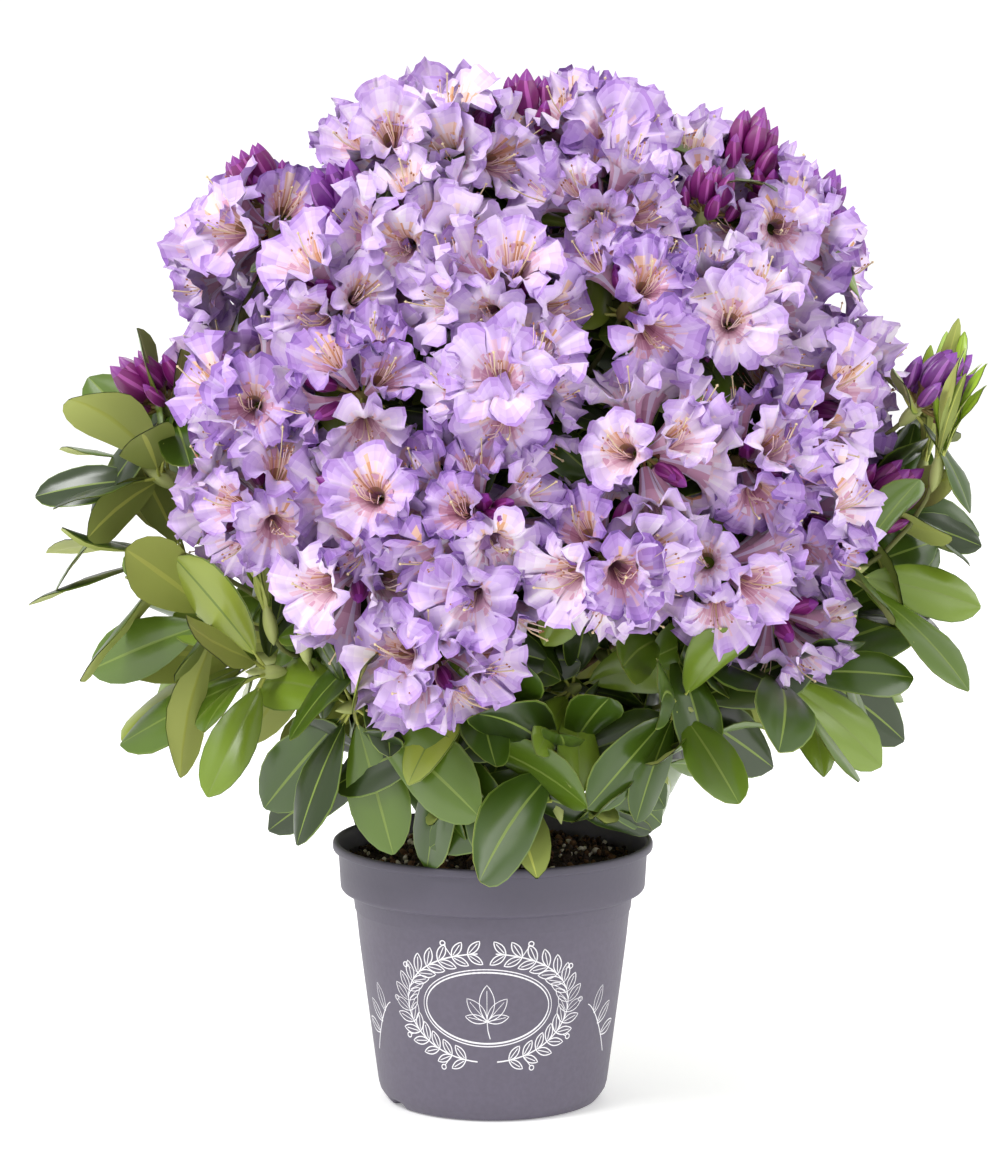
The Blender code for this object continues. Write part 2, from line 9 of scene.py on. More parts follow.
import bpy
import numpy as np
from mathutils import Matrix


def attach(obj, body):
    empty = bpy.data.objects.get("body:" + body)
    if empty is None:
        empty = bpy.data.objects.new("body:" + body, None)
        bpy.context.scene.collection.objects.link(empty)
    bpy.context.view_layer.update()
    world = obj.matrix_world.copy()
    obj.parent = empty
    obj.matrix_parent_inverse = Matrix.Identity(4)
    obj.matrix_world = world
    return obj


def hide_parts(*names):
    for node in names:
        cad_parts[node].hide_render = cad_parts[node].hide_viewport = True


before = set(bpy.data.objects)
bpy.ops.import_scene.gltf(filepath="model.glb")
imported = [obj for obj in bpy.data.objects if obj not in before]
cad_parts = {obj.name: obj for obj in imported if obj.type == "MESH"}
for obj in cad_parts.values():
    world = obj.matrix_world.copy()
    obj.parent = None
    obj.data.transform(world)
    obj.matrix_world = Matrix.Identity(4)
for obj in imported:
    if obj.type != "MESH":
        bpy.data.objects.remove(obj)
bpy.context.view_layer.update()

UP = np.array([0.0, 0.0, 1.0])
BACK = np.array([0.0, 1.0, 0.0])
SEED = 11

# Studio: a long lens a little above the crown, a wide white floor and three lights
CAMERA_PLACE = (0.0052, -3.2, 0.82)
CAMERA_PITCH = math.radians(7.9)
CAMERA_LENS = 162.0
FLOOR_HALF = 400
FLOOR_GLOW = 0.22
WORLD_STRENGTH = 0.87
LAMPS = (
    # name, place, watts, side
    ("key", (-1.9, -1.9, 3.2), 87, 1.3),
    ("side", (2.6, -1.0, 1.5), 22, 1.5),
    ("rear", (0.5, 2.6, 2.4), 26, 1.8),
)

# Pot, as in the solids but for its larger drain notches, and its compost
POT_HEIGHT = 0.190
LIP_RADIUS = 0.1158
BAND_TOP_RADIUS = 0.1118
BAND_FOOT_RADIUS = 0.1103
BAND_FOOT = 0.1565
BODY_TOP_RADIUS = 0.1012
BODY_TOP = 0.1525
RING_HEIGHT = 0.1410
BODY_FOOT_RADIUS = 0.0842
BODY_FOOT = 0.0200
BASE_RADIUS = 0.0745
WALL = 0.0020
POT_PROFILE = (
    # a radius and a height, then points that stand off them: from the base's middle up the outside
    (0.0, 0.0, ((0.0, 0.0009), (0.040, 0.0009), (0.066, 0.0009), (0.0690, 0.0))),
    (BASE_RADIUS, 0.0, ((0.0, 0.0), (0.0018, 0.0006), (0.0032, 0.0022), (0.0060, 0.0060))),
    (BODY_FOOT_RADIUS, 0.0, ((-0.0022, 0.0085), (-0.0010, 0.0130), (0.0, BODY_FOOT))),
    (0.0, 0.0, ((0.0885, 0.053), (0.0930, 0.087), (0.0968, 0.117))),
    (BODY_TOP_RADIUS, RING_HEIGHT, ((-0.0020, -0.0016), (-0.0013, -0.0008), (-0.0011, 0.0))),
    (BODY_TOP_RADIUS, BODY_TOP, ((0.0, -0.0010), (0.0006, 0.0))),
    (BAND_FOOT_RADIUS, BAND_FOOT,
     ((-0.0040, -0.0030), (-0.0012, -0.0016), (-0.0003, -0.0004), (0.0, 0.0012))),
    (BAND_TOP_RADIUS, 0.0, ((0.1110 - BAND_TOP_RADIUS, 0.170), (0.0, 0.1826), (0.0004, 0.1834))),
    # the lip, rolled over
    (LIP_RADIUS, 0.0,
     ((-0.0014, 0.1837), (-0.0004, 0.1842), (0.0, 0.1852), (0.0, 0.1880), (-0.0005, 0.1892),
      (-0.0014, 0.1899), (-0.0028, POT_HEIGHT), (-0.0040, 0.1895), (-0.0048, 0.1880))),
    # down the inside, to below the compost
    (-WALL, 0.0, ((BAND_TOP_RADIUS, 0.1840), (0.1090 + WALL, 0.1700))),
    (-WALL, WALL, ((BAND_FOOT_RADIUS, BAND_FOOT), (BODY_TOP_RADIUS, BODY_TOP - 2 * WALL))),
)
POT_SIDES = 160
NOTCH_RADIUS = 0.0095
NOTCH_RISE = 0.0062
NOTCH_BEARINGS = (-62, 118)
NOTCH_FROM_RADIUS = 0.060
COMPOST_TOP = 0.1750
COMPOST_SHOULDER = 0.1725
COMPOST_RINGS = 34
COMPOST_SIDES = 100
CRUMBS = 900
CRUMB_CHANCES = (0.62, 0.28, 0.10)
FLECK_DETAIL = 4.0
FLECK_DEPTH = 0.0006

# Print: its middle and half its span, as arc and height on the pot's side, and its lines' widths
PRINT_MIDDLE = (-0.004, 0.0862)
PRINT_SPAN = (0.061, 0.0405)
PRINT_RADIUS = 0.0930
PRINT_PROUD = 0.00022
PRINT_FINE = 0.00085
PRINT_STEM = 0.0010
GARLAND_PAIRS = 15

# Trunk and boughs, as in the solids
TRUNK_TOP = 0.372
TRUNK_RADIUS = 0.0092
TRUNK_TIP_RADIUS = 0.0050
TRUNK_SIDES = 28
FLARE_RADIUS = 0.0150
FLARE_HEIGHT = 0.022
TRUNK_LEAN = (0.012, 0.004)
BOUGH_LOW = 0.215
BOUGH_HIGH = 0.360
BOUGH_STAGGER = 0.006
BOUGH_RADIUS = 0.0034
BOUGH_TIP_RADIUS = 0.0026
BOUGH_SIDES = 12
BOUGH_STEPS = 18
FORK_STEPS = 6
SEAT_SHARE = 0.42
FORK_SHARE = 0.60
BOUGH_BULGE = 0.12
BOUGH_DIP = 0.012

# Crown: its heart, and the twigs from each mass's fork to its shoots
HEART = np.array([0.020, 0.0, 0.440])
TWIG_RADIUS = 0.0022
TWIG_TIP_RADIUS = 0.0016
TWIG_SWEEP = 0.45
TWIG_STEPS = 8
SHOOT_LIFT = {"truss": 0.10, "buds": 0.75, "leafy": 0.55, "young": 5.0}

# Leaves
LEAF_START = 0.002
LEAF_DROP = {"truss": 0.0085, "buds": 0.004, "leafy": 0.004, "young": 0.004}
FACE_TO_LIGHT = 0.25
WHORL_JITTER = 0.5
LEAF_ROLL = 1.1
KINDS = {
    # leaves, least and most tilt from the shoot, least and most length, width over length, sag
    "truss": (3, 98, 116, 0.070, 0.092, 0.37, 0.02),
    "buds": (4, 74, 106, 0.070, 0.092, 0.37, 0.12),
    "leafy": (6, 50, 98, 0.078, 0.112, 0.38, 0.20),
    "young": (6, 2, 13, 0.080, 0.120, 0.16, 0.04),
}
# Leaves that the solids leave out, and their length beside the others
MORE_LEAVES = {"truss": (2, 0.85), "buds": (0, 1.0), "leafy": (1, 0.8), "young": (2, 0.8)}
# Width beside the solids' own
FULLNESS = {"truss": 1.18, "buds": 1.18, "leafy": 1.18, "young": 0.78}
LATE_LEAVES = 2
# Whorls at the crown's two sides: tilts, roll at the left and at the right, sag, width, turn to the front
WING_SPAN = 0.5
WING_TILTS = (24, 84)
WING_ROLL = (2.1, 1.2)
WING_SAG = 0.10
WING_FULLNESS = 1.04
WING_TO_FRONT = 0.8
# The hem: the least height of a leaf's tip by its place sideways, rising towards the front and back
HEM_SIDEWAYS = (-0.33, -0.22, -0.13, -0.04, 0.06, 0.10, 0.15, 0.20, 0.33)
HEM_HEIGHTS = (0.235, 0.212, 0.198, 0.192, 0.192, 0.206, 0.232, 0.252, 0.262)
HEM_RISE = 0.40
HEM_FROM = 0.155
HEM_MOST = 0.75
HEM_PASSES = 3
RIGHT_MOST = 0.352
LEAF_ROWS = 9
BLADE_START = 0.12
TOP_ACROSS = (-1, -0.955, -0.62, -0.30, -0.045, 0.045, 0.30, 0.62, 0.955, 1)
UNDER_ACROSS = (-1, -0.5, -0.08, 0.08, 0.5, 1)
LEAF_TONES = ((35, 53, 9), (55, 80, 14), (82, 108, 24), (112, 136, 38), (148, 162, 62))
LEAF_CHANCES = (0.29, 0.30, 0.22, 0.13, 0.06)
# Chances of the five greens for the leaves of the crown's left wing: the lighter ones more often, painted
# light for the light that shines through these leaves
LEFT_WING_LIT_CHANCES = (0.18, 0.24, 0.22, 0.20, 0.16)

# Shoots that fill the crown and that the solids leave out
LATE_SHOOTS = {
    # kind, bearing and rise in degrees, millimetres from the heart, scale
    "upper_left": (("buds", -53, 53, 246, 1.0),),
    "left_shoulder": (("buds", -86, 49, 276, 0.9),),
    "right_upper": (("buds", 62, 55, 250, 0.8),),
    "right_shoulder": (("buds", 88, 44, 284, 0.8),),
    "low_front": (("truss", -34, -9, 198, 1.0), ("truss", -8, -10, 192, 1.0)),
    "left_skirt": (("young", -60, -20, 216, 0.62), ("young", -52, -24, 210, 0.5),
                   ("leafy", -87, 4, 256, 1.1)),
    "right_skirt": (("young", 83, 5, 298, 0.86), ("leafy", 93, -3, 270, 0.84)),
}
SIDE_SHOOTS = (
    # turn round the parent's aim in degrees, tilt from it, millimetres from it, share of leaf length
    (78, 38, 46, 0.84),
    (-84, 44, 50, 0.88),
)
LEAFY_SCALE = 1.06
INNER_SHARE = 0.60
INNER_DROP = 0.03
INNER_SCALE = 0.85
CORE_SHARE = 0.52

# Every mass of the front by name, and then those of the back, as in the solids
FRONT = {
    # kind, bearing and rise in degrees, millimetres from the heart
    "top_left": (("truss", -62, 67, 261), ("truss", -40, 76, 247), ("buds", 8, 84, 259),
                 ("truss", -140, 70, 254)),
    "top_right": (("truss", 60, 76, 250), ("truss", 104, 66, 230), ("truss", 150, 68, 252)),
    "left_shoulder": (("truss", -84, 47, 258), ("truss", -104, 38, 258)),
    "upper_left": (("truss", -33, 56, 228), ("truss", -46, 41, 222), ("truss", -34, 24, 212)),
    "upper_front": (("truss", -4, 43, 218), ("truss", 30, 61, 232), ("truss", 26, 42, 220)),
    "right_shoulder": (("truss", 80, 48, 260), ("truss", 104, 37, 250), ("truss", 96, 60, 245),
                       ("buds", 84, 56, 278)),
    "front_middle": (("truss", -3, 26, 207), ("truss", -8, 3, 206), ("truss", 24, 14, 205)),
    "right_upper": (("truss", 53, 36, 220), ("truss", 67, 20, 216), ("truss", 46, 11, 212)),
    "right_middle": (("truss", 90, 19, 226), ("buds", 86, 13, 290)),
    "left_front": (("truss", -63, 20, 216), ("truss", -56, 2, 212), ("buds", -84, 15, 262)),
    "low_front": (("truss", -27, 5, 206), ("truss", -18, -24, 208)),
    "low_front_right": (("truss", 16, -5, 204), ("truss", 39, -8, 209)),
    "right_front": (("truss", 62, -1, 208), ("truss", 60, -19, 211), ("buds", 84, -2, 244)),
    "left_skirt": (("leafy", -84, 4, 262), ("leafy", -88, -10, 248), ("leafy", -76, -20, 238),
                   ("leafy", -66, -30, 230)),
    "front_skirt": (("leafy", -43, -37, 220), ("leafy", -17, -46, 214), ("leafy", 12, -50, 222)),
    "right_skirt": (("young", 90, 4, 288), ("leafy", 94, -3, 241), ("leafy", 81, -12, 243),
                    ("leafy", 94, -22, 238)),
    "front_right_skirt": (("leafy", 38, -36, 222), ("leafy", 62, -29, 234)),
}
BACK_COLUMNS = {"back_right_side": 115, "back_right": 141, "back_mid_right": 167,
                "back_mid_left": 193, "back_left": 219, "back_left_side": 245}
BACK_RISES = (45, 20, -4)
BACK_REACHES = (240, 224, 216)
BACK_STAGGER = (5, -5, 4)
BACK_SKIRTS = {"back_right_skirt": 117, "back_skirt": 180, "back_left_skirt": 243}
SKIRT_STEP = 21
SKIRT_RISES = (-32, -14, -32)
SKIRT_REACHES = (228, 240, 228)

# A bloom: its stalk, and the funnel from its foot to its margin
LOBES = 5
STALK_LENGTH = 0.0095
BLOOM_STATIONS = (0.0, 0.14, 0.28, 0.42, 0.56, 0.70, 0.82, 0.92, 1.0)
BLOOM_ROWS = len(BLOOM_STATIONS) - 1
BLOOM_COLUMNS = 14
FUNNEL_SHARES = (0.0, 0.12, 0.25, 0.40, 0.55, 0.70, 0.84, 1.0)
FUNNEL_RADII = (0.0024, 0.0037, 0.0055, 0.0086, 0.0132, 0.0187, 0.0240, 0.0292)
FUNNEL_HEIGHTS = (0.0, 0.0076, 0.0150, 0.0222, 0.0276, 0.0320, 0.0352, 0.0376)
BACK_SHARES = (0.0, 0.12, 0.26, 0.40, 0.52)
NOTCH_DEPTH = 0.17
STAMENS = 5
RED_STALKS = 0.72
BLOSSOM_PIECES = 4

# A truss: tilts of a heart's corners, spread of its blooms, and the room each tier keeps
RING_TILTS = (37.377, 79.188, 100.812, 142.623)
BLOOM_SIZES = (0.96, 1.30)
FILL_BLOOMS = 7
FILL_SPREAD = 0.95
LOWER_LIFT = 0.26
RAY_SPREAD = 0.52
BLOOM_TIERS = (0.018, 0.0240, 0.0305, 0.0275)
FACE_REACH = 0.044
TONE_CHANCES = (0.34, 0.44, 0.22)
TONE_SHADES = (-1.0, 0.4, 2.6)
SAME_TONE = 0.7

# Flower buds: in groups, shorter and more upright than the solids' own, and in the trusses' gaps
BUD_TILT = math.radians(7)
BUD_SPREAD = 0.070
BUD_LENGTH = 0.037
BUD_HEART = 0.030
BUD_ROOM = 0.026
BUD_ROWS = 10
BUD_SIDES = 16
LOW_BUD_SCALE = 0.76
TUCKED_TRIES = 24
TUCKED_BUDS = 3
TUCKED_ROOM = 0.019
TUCKED_SCALE = 0.80
BUD_TONES = (
    # deep, rib and tip of the closed groups, then of those about to open
    ((120, 22, 104), (166, 72, 154), (136, 44, 142)),
    ((106, 38, 124), (158, 90, 176), (132, 62, 160)),
)

# Petals, from pale to deep: the lobes, the throat, and the flare with its brown streaks
LILACS = (
    (238, 228, 240), (233, 218, 239), (228, 208, 237), (221, 198, 235), (214, 189, 233), (206, 177, 229),
    (196, 163, 222), (185, 148, 214), (172, 131, 204), (155, 113, 191), (136, 95, 174), (114, 77, 153),
)
MAUVES = (
    (238, 211, 224), (227, 190, 209), (214, 164, 190), (198, 141, 169), (180, 118, 148), (156, 94, 124),
)
GOLDS = ((240, 212, 204), (230, 188, 162), (216, 160, 116), (188, 134, 96), (166, 132, 92))


def smooth(x):
    """Nought below 0, one above 1, and an even S between them."""
    x = np.clip(x, 0, 1)
    return x * x * (3 - 2 * x)


def unit(v):
    """Each vector at length one."""
    return v / np.linalg.norm(v, axis=-1, keepdims=True)


def dot(a, b):
    """The product of each pair of vectors, kept as a column."""
    return (a * b).sum(axis=-1, keepdims=True)


def toward(bearing, rise):
    """The unit vector at a bearing and a rise, both in degrees."""
    b = math.radians(bearing)
    r = math.radians(rise)
    return np.array([math.sin(b) * math.cos(r), -math.cos(b) * math.cos(r), math.sin(r)])


def across(aim):
    """Two unit vectors square to aim, the first one level."""
    side = np.cross(UP, aim)
    if np.linalg.norm(side) < 0.05:
        side = np.array([1.0, 0.0, 0.0])
    side = unit(side)
    return side, np.cross(aim, side)


def stand(name, data):
    """A new object of the scene."""
    made = bpy.data.objects.new(name, data)
    bpy.context.scene.collection.objects.link(made)
    return made


def around(first, second, angle):
    """The vectors at an angle from the first towards the second, which is square to it."""
    return np.cos(angle) * first + np.sin(angle) * second


def axes(values, count):
    """The values with this many axes of length one after their own, to go with grids of points."""
    values = np.asarray(values)
    return values.reshape(values.shape + (1,) * count)


def ring_angles(count):
    """The angles of a ring's points."""
    return np.arange(count) * 2 * math.pi / count


def outward(bearing, rise, reach):
    """The way from the crown's heart to a place: two angles in degrees and millimetres."""
    return toward(bearing, rise) * reach / 1000


def turned_about(aim, tilt, turn):
    """The unit vector tilted away from aim, turned round it."""
    side, rise = across(aim)
    ring = math.cos(turn) * side + math.sin(turn) * rise
    return math.cos(tilt) * aim + math.sin(tilt) * ring


def shoot_aim(bearing, rise, kind):
    """A shoot grows out from the heart and turns up towards the light, the young ones most."""
    return unit(toward(bearing, rise) + SHOOT_LIFT[kind] * UP)


def crown_plan():
    """Every mass by name, as a list of shoots."""
    plan = dict(FRONT)
    for row, (name, bearing) in enumerate(BACK_COLUMNS.items()):
        swing = -1 if row % 2 else 1
        plan[name] = tuple(
            ("truss", bearing + swing * shift, rise + swing * 3, reach)
            for rise, reach, shift in zip(BACK_RISES, BACK_REACHES, BACK_STAGGER)
        )
    for name, bearing in BACK_SKIRTS.items():
        plan[name] = tuple(
            ("leafy", bearing + (k - 1) * SKIRT_STEP, rise, reach)
            for k, (rise, reach) in enumerate(zip(SKIRT_RISES, SKIRT_REACHES))
        )
    return plan


def trunk_at(height):
    """The trunk's axis and radius at a height: it leans a little and tapers from a flared root."""
    share = (height - COMPOST_TOP) / (TRUNK_TOP - COMPOST_TOP)
    bend = 1 - math.cos(share * math.pi / 2)
    centre = np.array([TRUNK_LEAN[0] * bend, TRUNK_LEAN[1] * bend, height])
    radius = TRUNK_RADIUS + (TRUNK_TIP_RADIUS - TRUNK_RADIUS) * share
    flare = max(0.0, 1 - (height - COMPOST_TOP) / FLARE_HEIGHT)
    return centre, radius + (FLARE_RADIUS - TRUNK_RADIUS) * flare**2


def bend_of(start, middle, end, steps):
    """Points on the quadratic curve from start to end, drawn towards middle."""
    t = np.linspace(0, 1, steps)[:, None]
    return (1 - t) ** 2 * start + 2 * t * (1 - t) * middle + t**2 * end


def bough_route(shoots, height, steps):
    """The bough's points, from inside the trunk to its seat, and the mass's fork."""
    goal = np.mean([HEART + outward(*shoot[1:]) for shoot in shoots], axis=0)
    centre, radius = trunk_at(height)
    away = goal - centre
    level = unit(away * np.array([1, 1, 0]))
    seat = centre + away * SEAT_SHARE
    fork = centre + away * FORK_SHARE
    middle = (centre + seat) / 2 + level * np.linalg.norm(away) * BOUGH_BULGE - UP * BOUGH_DIP
    return bend_of(centre + level * radius * 0.5, middle, seat, steps), fork


def screen(colour):
    """A colour given as it looks on a screen, 0 to 255, as the shader's linear values and alpha."""
    parts = np.array(colour) / 255
    return (*np.where(parts < 0.04045, parts / 12.92, ((parts + 0.055) / 1.055) ** 2.4), 1.0)


def plain(name, colour, roughness, coat=0.0, sheen=0.0):
    """A Principled material of one base colour."""
    made = bpy.data.materials.new(name)
    made.use_nodes = True
    values = {"Base Color": screen(colour), "Roughness": roughness, "Coat Weight": coat,
              "Coat Roughness": 0.25, "Sheen Weight": sheen}
    for socket, value in values.items():
        made.node_tree.nodes["Principled BSDF"].inputs[socket].default_value = value
    made.diffuse_color = screen(colour)
    return made


class Net:
    """Points and four-sided faces gathered for one piece, each face with its material's place."""

    def __init__(self):
        self.points = []
        self.faces = []
        self.places = []
        self.count = 0

    def grids(self, points, places, round_about=False):
        """Adds grids of points, shaped (grids, rows, columns, 3). Round ones close on themselves."""
        count, rows, columns = points.shape[:3]
        across_count = columns if round_about else columns - 1
        row = axes(np.arange(rows - 1), 1)
        column = np.arange(across_count)
        after = (column + 1) % columns
        corners = [row * columns + column, row * columns + after,
                   (row + 1) * columns + after, (row + 1) * columns + column]
        faces = np.stack(corners, -1) + axes(np.arange(count), 3) * rows * columns + self.count
        self.points.append(points.reshape(-1, 3))
        self.faces.append(faces.reshape(-1, 4))
        self.places.append(np.broadcast_to(places, faces.shape[:3]).reshape(-1))
        self.count += len(self.points[-1])

    def piece(self, name, materials, replaced=()):
        """Makes the object, rides it on the plant's one body, and hides the solids' parts that it replaces.
        """
        points = np.concatenate(self.points).astype(np.float32)
        faces = np.concatenate(self.faces).astype(np.int32)
        mesh = bpy.data.meshes.new(name)
        mesh.vertices.add(len(points))
        mesh.vertices.foreach_set("co", points.ravel())
        mesh.loops.add(faces.size)
        mesh.loops.foreach_set("vertex_index", faces.ravel())
        mesh.polygons.add(len(faces))
        mesh.polygons.foreach_set("loop_start", np.arange(len(faces), dtype=np.int32) * 4)
        for material in materials:
            mesh.materials.append(material)
        mesh.polygons.foreach_set("material_index", np.concatenate(self.places).astype(np.int32))
        mesh.update(calc_edges=True)
        mesh.validate()
        mesh.polygons.foreach_set("use_smooth", np.ones(len(mesh.polygons), bool))
        obj = stand(name, mesh)
        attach(obj, "root")
        if replaced:
            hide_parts(*replaced)


def tubes(paths, radii, sides, ribs=None):
    """Grids for tubes: each station of a path carries a ring square to the path's run.

    paths is (tubes, stations, 3) and radii (tubes, stations). ribs scales each ring's points.
    """
    ahead = unit(np.gradient(paths, axis=1))
    guide = np.where(np.abs(ahead[:, :1, 2:]) > 0.85, BACK, UP)
    side = unit(np.cross(guide, ahead))
    rise = np.cross(ahead, side)
    turn = axes(ring_angles(sides), 1)
    reach = axes(radii, 2) * (1.0 if ribs is None else ribs[..., None])
    return paths[:, :, None] + around(side[:, :, None], rise[:, :, None], turn) * reach


def square_to(ray, guide):
    """Unit vectors square to each ray, as near as they can be to the guide, and their partners."""
    rise = unit(guide - ray * dot(guide, ray))
    return rise, np.cross(rise, ray)


# Blooms

def heart_rays(aim, turn):
    """The ways the faces of a twelve-sided heart look: one up the shoot, five round it, five lower."""
    points = []
    for ring, tilt in enumerate(RING_TILTS):
        for k in range(LOBES):
            angle = turn + (k + 0.5 * (ring > 1)) * 2 * math.pi / LOBES
            points.append(turned_about(aim, math.radians(tilt), angle))
    points = np.array(points)
    after = [(k + 1) % LOBES for k in range(LOBES)]
    faces = [tuple(range(LOBES))]
    faces += [(k, 5 + k, 10 + k, 5 + after[k], after[k]) for k in range(LOBES)]
    faces += [(5 + after[k], 10 + k, 15 + k, 15 + after[k], 10 + after[k]) for k in range(LOBES)]
    return unit(points[np.array(faces)].mean(axis=1))


def plan_blooms(shoots):
    """Every bloom of the crown, as arrays by name, with the crowded ones left out.

    A truss has one bloom up the shoot, five round it and five lower, then some wherever a gap is.
    Blooms keep away from each other's faces and further from the buds.
    """
    wanted = []
    buds = np.array([shoot["centre"] + ray * BUD_HEART for shoot in shoots if shoot["kind"] == "buds"
                     for ray in bud_rays(shoot["aim"], shoot["turn"])])
    for shoot in shoots:
        if shoot["kind"] != "truss":
            continue
        rng = shoot["rng"]
        rays = heart_rays(shoot["aim"], shoot["turn"])
        rays[LOBES + 1:] += shoot["aim"] * LOWER_LIFT
        rays = unit(rays + (rng.random(rays.shape) - 0.5) * RAY_SPREAD)
        fill = unit(shoot["aim"] + 2 * FILL_SPREAD * (rng.random((FILL_BLOOMS, 3)) - 0.5))
        rays = np.concatenate([rays, fill])
        sizes = BLOOM_SIZES[0] + (BLOOM_SIZES[1] - BLOOM_SIZES[0]) * rng.random(len(rays))
        tone = rng.choice(len(TONE_CHANCES), p=TONE_CHANCES)
        point = rng.random() ** 3
        tiers = [0] + [1] * LOBES + [2] * LOBES + [3] * FILL_BLOOMS
        for ray, size, tier in zip(rays, sizes, tiers):
            tint = tone if rng.random() < SAME_TONE else rng.choice(len(TONE_CHANCES))
            wide = 0.74 + 0.38 * rng.random()
            wanted.append((tier, shoot["centre"], ray, size, tint, rng.random(40), wide, point))
    wanted.sort(key=lambda bloom: bloom[0])
    kept = []
    faces = np.full((1, 3), np.inf)
    for bloom in wanted:
        tier, centre, ray, size = bloom[:4]
        face = centre + ray * FACE_REACH * size
        if np.linalg.norm(faces - face, axis=1).min() < BLOOM_TIERS[tier]:
            continue
        if np.linalg.norm(buds - face, axis=1).min() < BUD_ROOM:
            continue
        faces = np.concatenate([faces, face[None]])
        kept.append(bloom)
    names = (None, "heart", "ray", "size", "tone", "draws", "open", "point")
    return {name: np.array([bloom[k] for bloom in kept]) for k, name in enumerate(names) if name}


def bloom_axes(blooms):
    """Each bloom's foot, ray, the way its upper lobe looks, and that way's partner."""
    ray = blooms["ray"]
    foot = blooms["heart"] + ray * (STALK_LENGTH * blooms["size"])[:, None]
    guide = np.broadcast_to(UP + 0.45 * BACK, ray.shape)
    rise, side = square_to(ray, guide)
    turned = around(rise, side, (blooms["draws"][:, :1] - 0.5) * 1.2)
    return foot, ray, turned, np.cross(turned, ray)


def lobe_draws(blooms, first):
    """A draw for each lobe of each bloom: five of the bloom's own, from the given one on."""
    return axes(blooms["draws"][:, first:first + LOBES], 2)


def lobe_waves(blooms, s, t):
    """The frill of each lobe: long waves across it and short ones over them, with their slope.

    Both are sines of t whose number and phase each lobe draws for itself.
    """
    long_turn = t * (4.0 + 4.0 * lobe_draws(blooms, 21)) + lobe_draws(blooms, 26) * 6.3 + s * 1.4
    short_turn = t * (8.5 + 4.5 * lobe_draws(blooms, 6)) + s * 5 + lobe_draws(blooms, 31) * 6.3
    opened = smooth((s - 0.28) / 0.72)
    lift = opened**1.2 * (0.0044 * np.sin(long_turn) + opened * 0.0022 * np.sin(short_turn))
    return lift, opened**2 * np.cos(long_turn)


def petal_grids(blooms):
    """The lobes of every bloom, as grids (blooms x lobes, rows, columns, 3).

    A lobe is a fifth of a funnel, by s from foot to margin and t across from -1 to 1. Its outline
    is the funnel's own, with s cut back towards t = -1 and 1 by a cube law, so that notches part
    the lobes, and some lobes drawn out to a point. The frill's waves lift the surface and push it
    aside, small teeth crimp the margin, a groove runs down the middle, and each lobe rolls back or
    cups by its own amount. Lobes lap over each other, one edge above and one below its neighbour.
    """
    foot, ray, rise, side = (each[:, None, None, None] for each in bloom_axes(blooms))
    count = len(foot)
    s = np.array(BLOOM_STATIONS)[None, None, :, None]
    t = np.linspace(-1, 1, BLOOM_COLUMNS + 1)
    opened = smooth((s - 0.35) / 0.65)
    teeth = np.random.default_rng(SEED + 6).random((2, count, LOBES, 1, BLOOM_COLUMNS + 1)) - 0.5
    crimp = np.clip((s - 0.86) / 0.14, 0, 1)
    point = axes(blooms["point"], 3) * (0.6 + 0.8 * lobe_draws(blooms, 1))
    cut = NOTCH_DEPTH * np.abs(t) ** 3 + 0.18 * point * (np.abs(t) ** 1.2 - 0.35)
    cut = s * (1 - opened * cut)
    turn = t * (7 + 4 * lobe_draws(blooms, 6)) + lobe_draws(blooms, 11) * 6.3
    cut = cut * (1 + opened * 0.030 * np.sin(turn))
    cut = cut * (1 + 0.070 * crimp * teeth[0])
    wide = axes(blooms["open"], 3)
    radius = np.interp(cut, FUNNEL_SHARES, FUNNEL_RADII) * (1 + (wide - 1) * cut)
    height = np.interp(cut, FUNNEL_SHARES, FUNNEL_HEIGHTS) * (1 + 0.7 * (1 - wide) * cut)
    lift, slope = lobe_waves(blooms, s, t)
    width = math.radians(36) * (1 + 0.28 * opened * (1 - 0.1 * opened))
    angle = axes(ring_angles(LOBES), 2) + t * width + opened * (lobe_draws(blooms, 16) - 0.5) * 0.18
    angle = angle + 0.065 * slope
    curl = (lobe_draws(blooms, 35) - 0.38) * 2.0
    back = np.clip(curl, 0, None) * opened**2
    cup = np.clip(-curl, 0, None) * opened**2
    height = height + 0.85 * lift - 0.0080 * back + 0.0050 * cup + 0.0030 * crimp * teeth[1]
    height = height - 0.0012 * opened * np.exp(-((t / 0.2) ** 2)) + 0.0022 * opened * t
    radius = radius - 0.50 * lift - 0.0010 * back - 0.0045 * cup
    size = axes(blooms["size"], 3)
    radius = radius * size * (1 + 0.06 * opened * np.cos(angle))
    points = foot + around(rise, side, angle[..., None]) * radius[..., None]
    points = points + ray * (height * size)[..., None]
    return points.reshape(count * LOBES, BLOOM_ROWS + 1, BLOOM_COLUMNS + 1, 3)


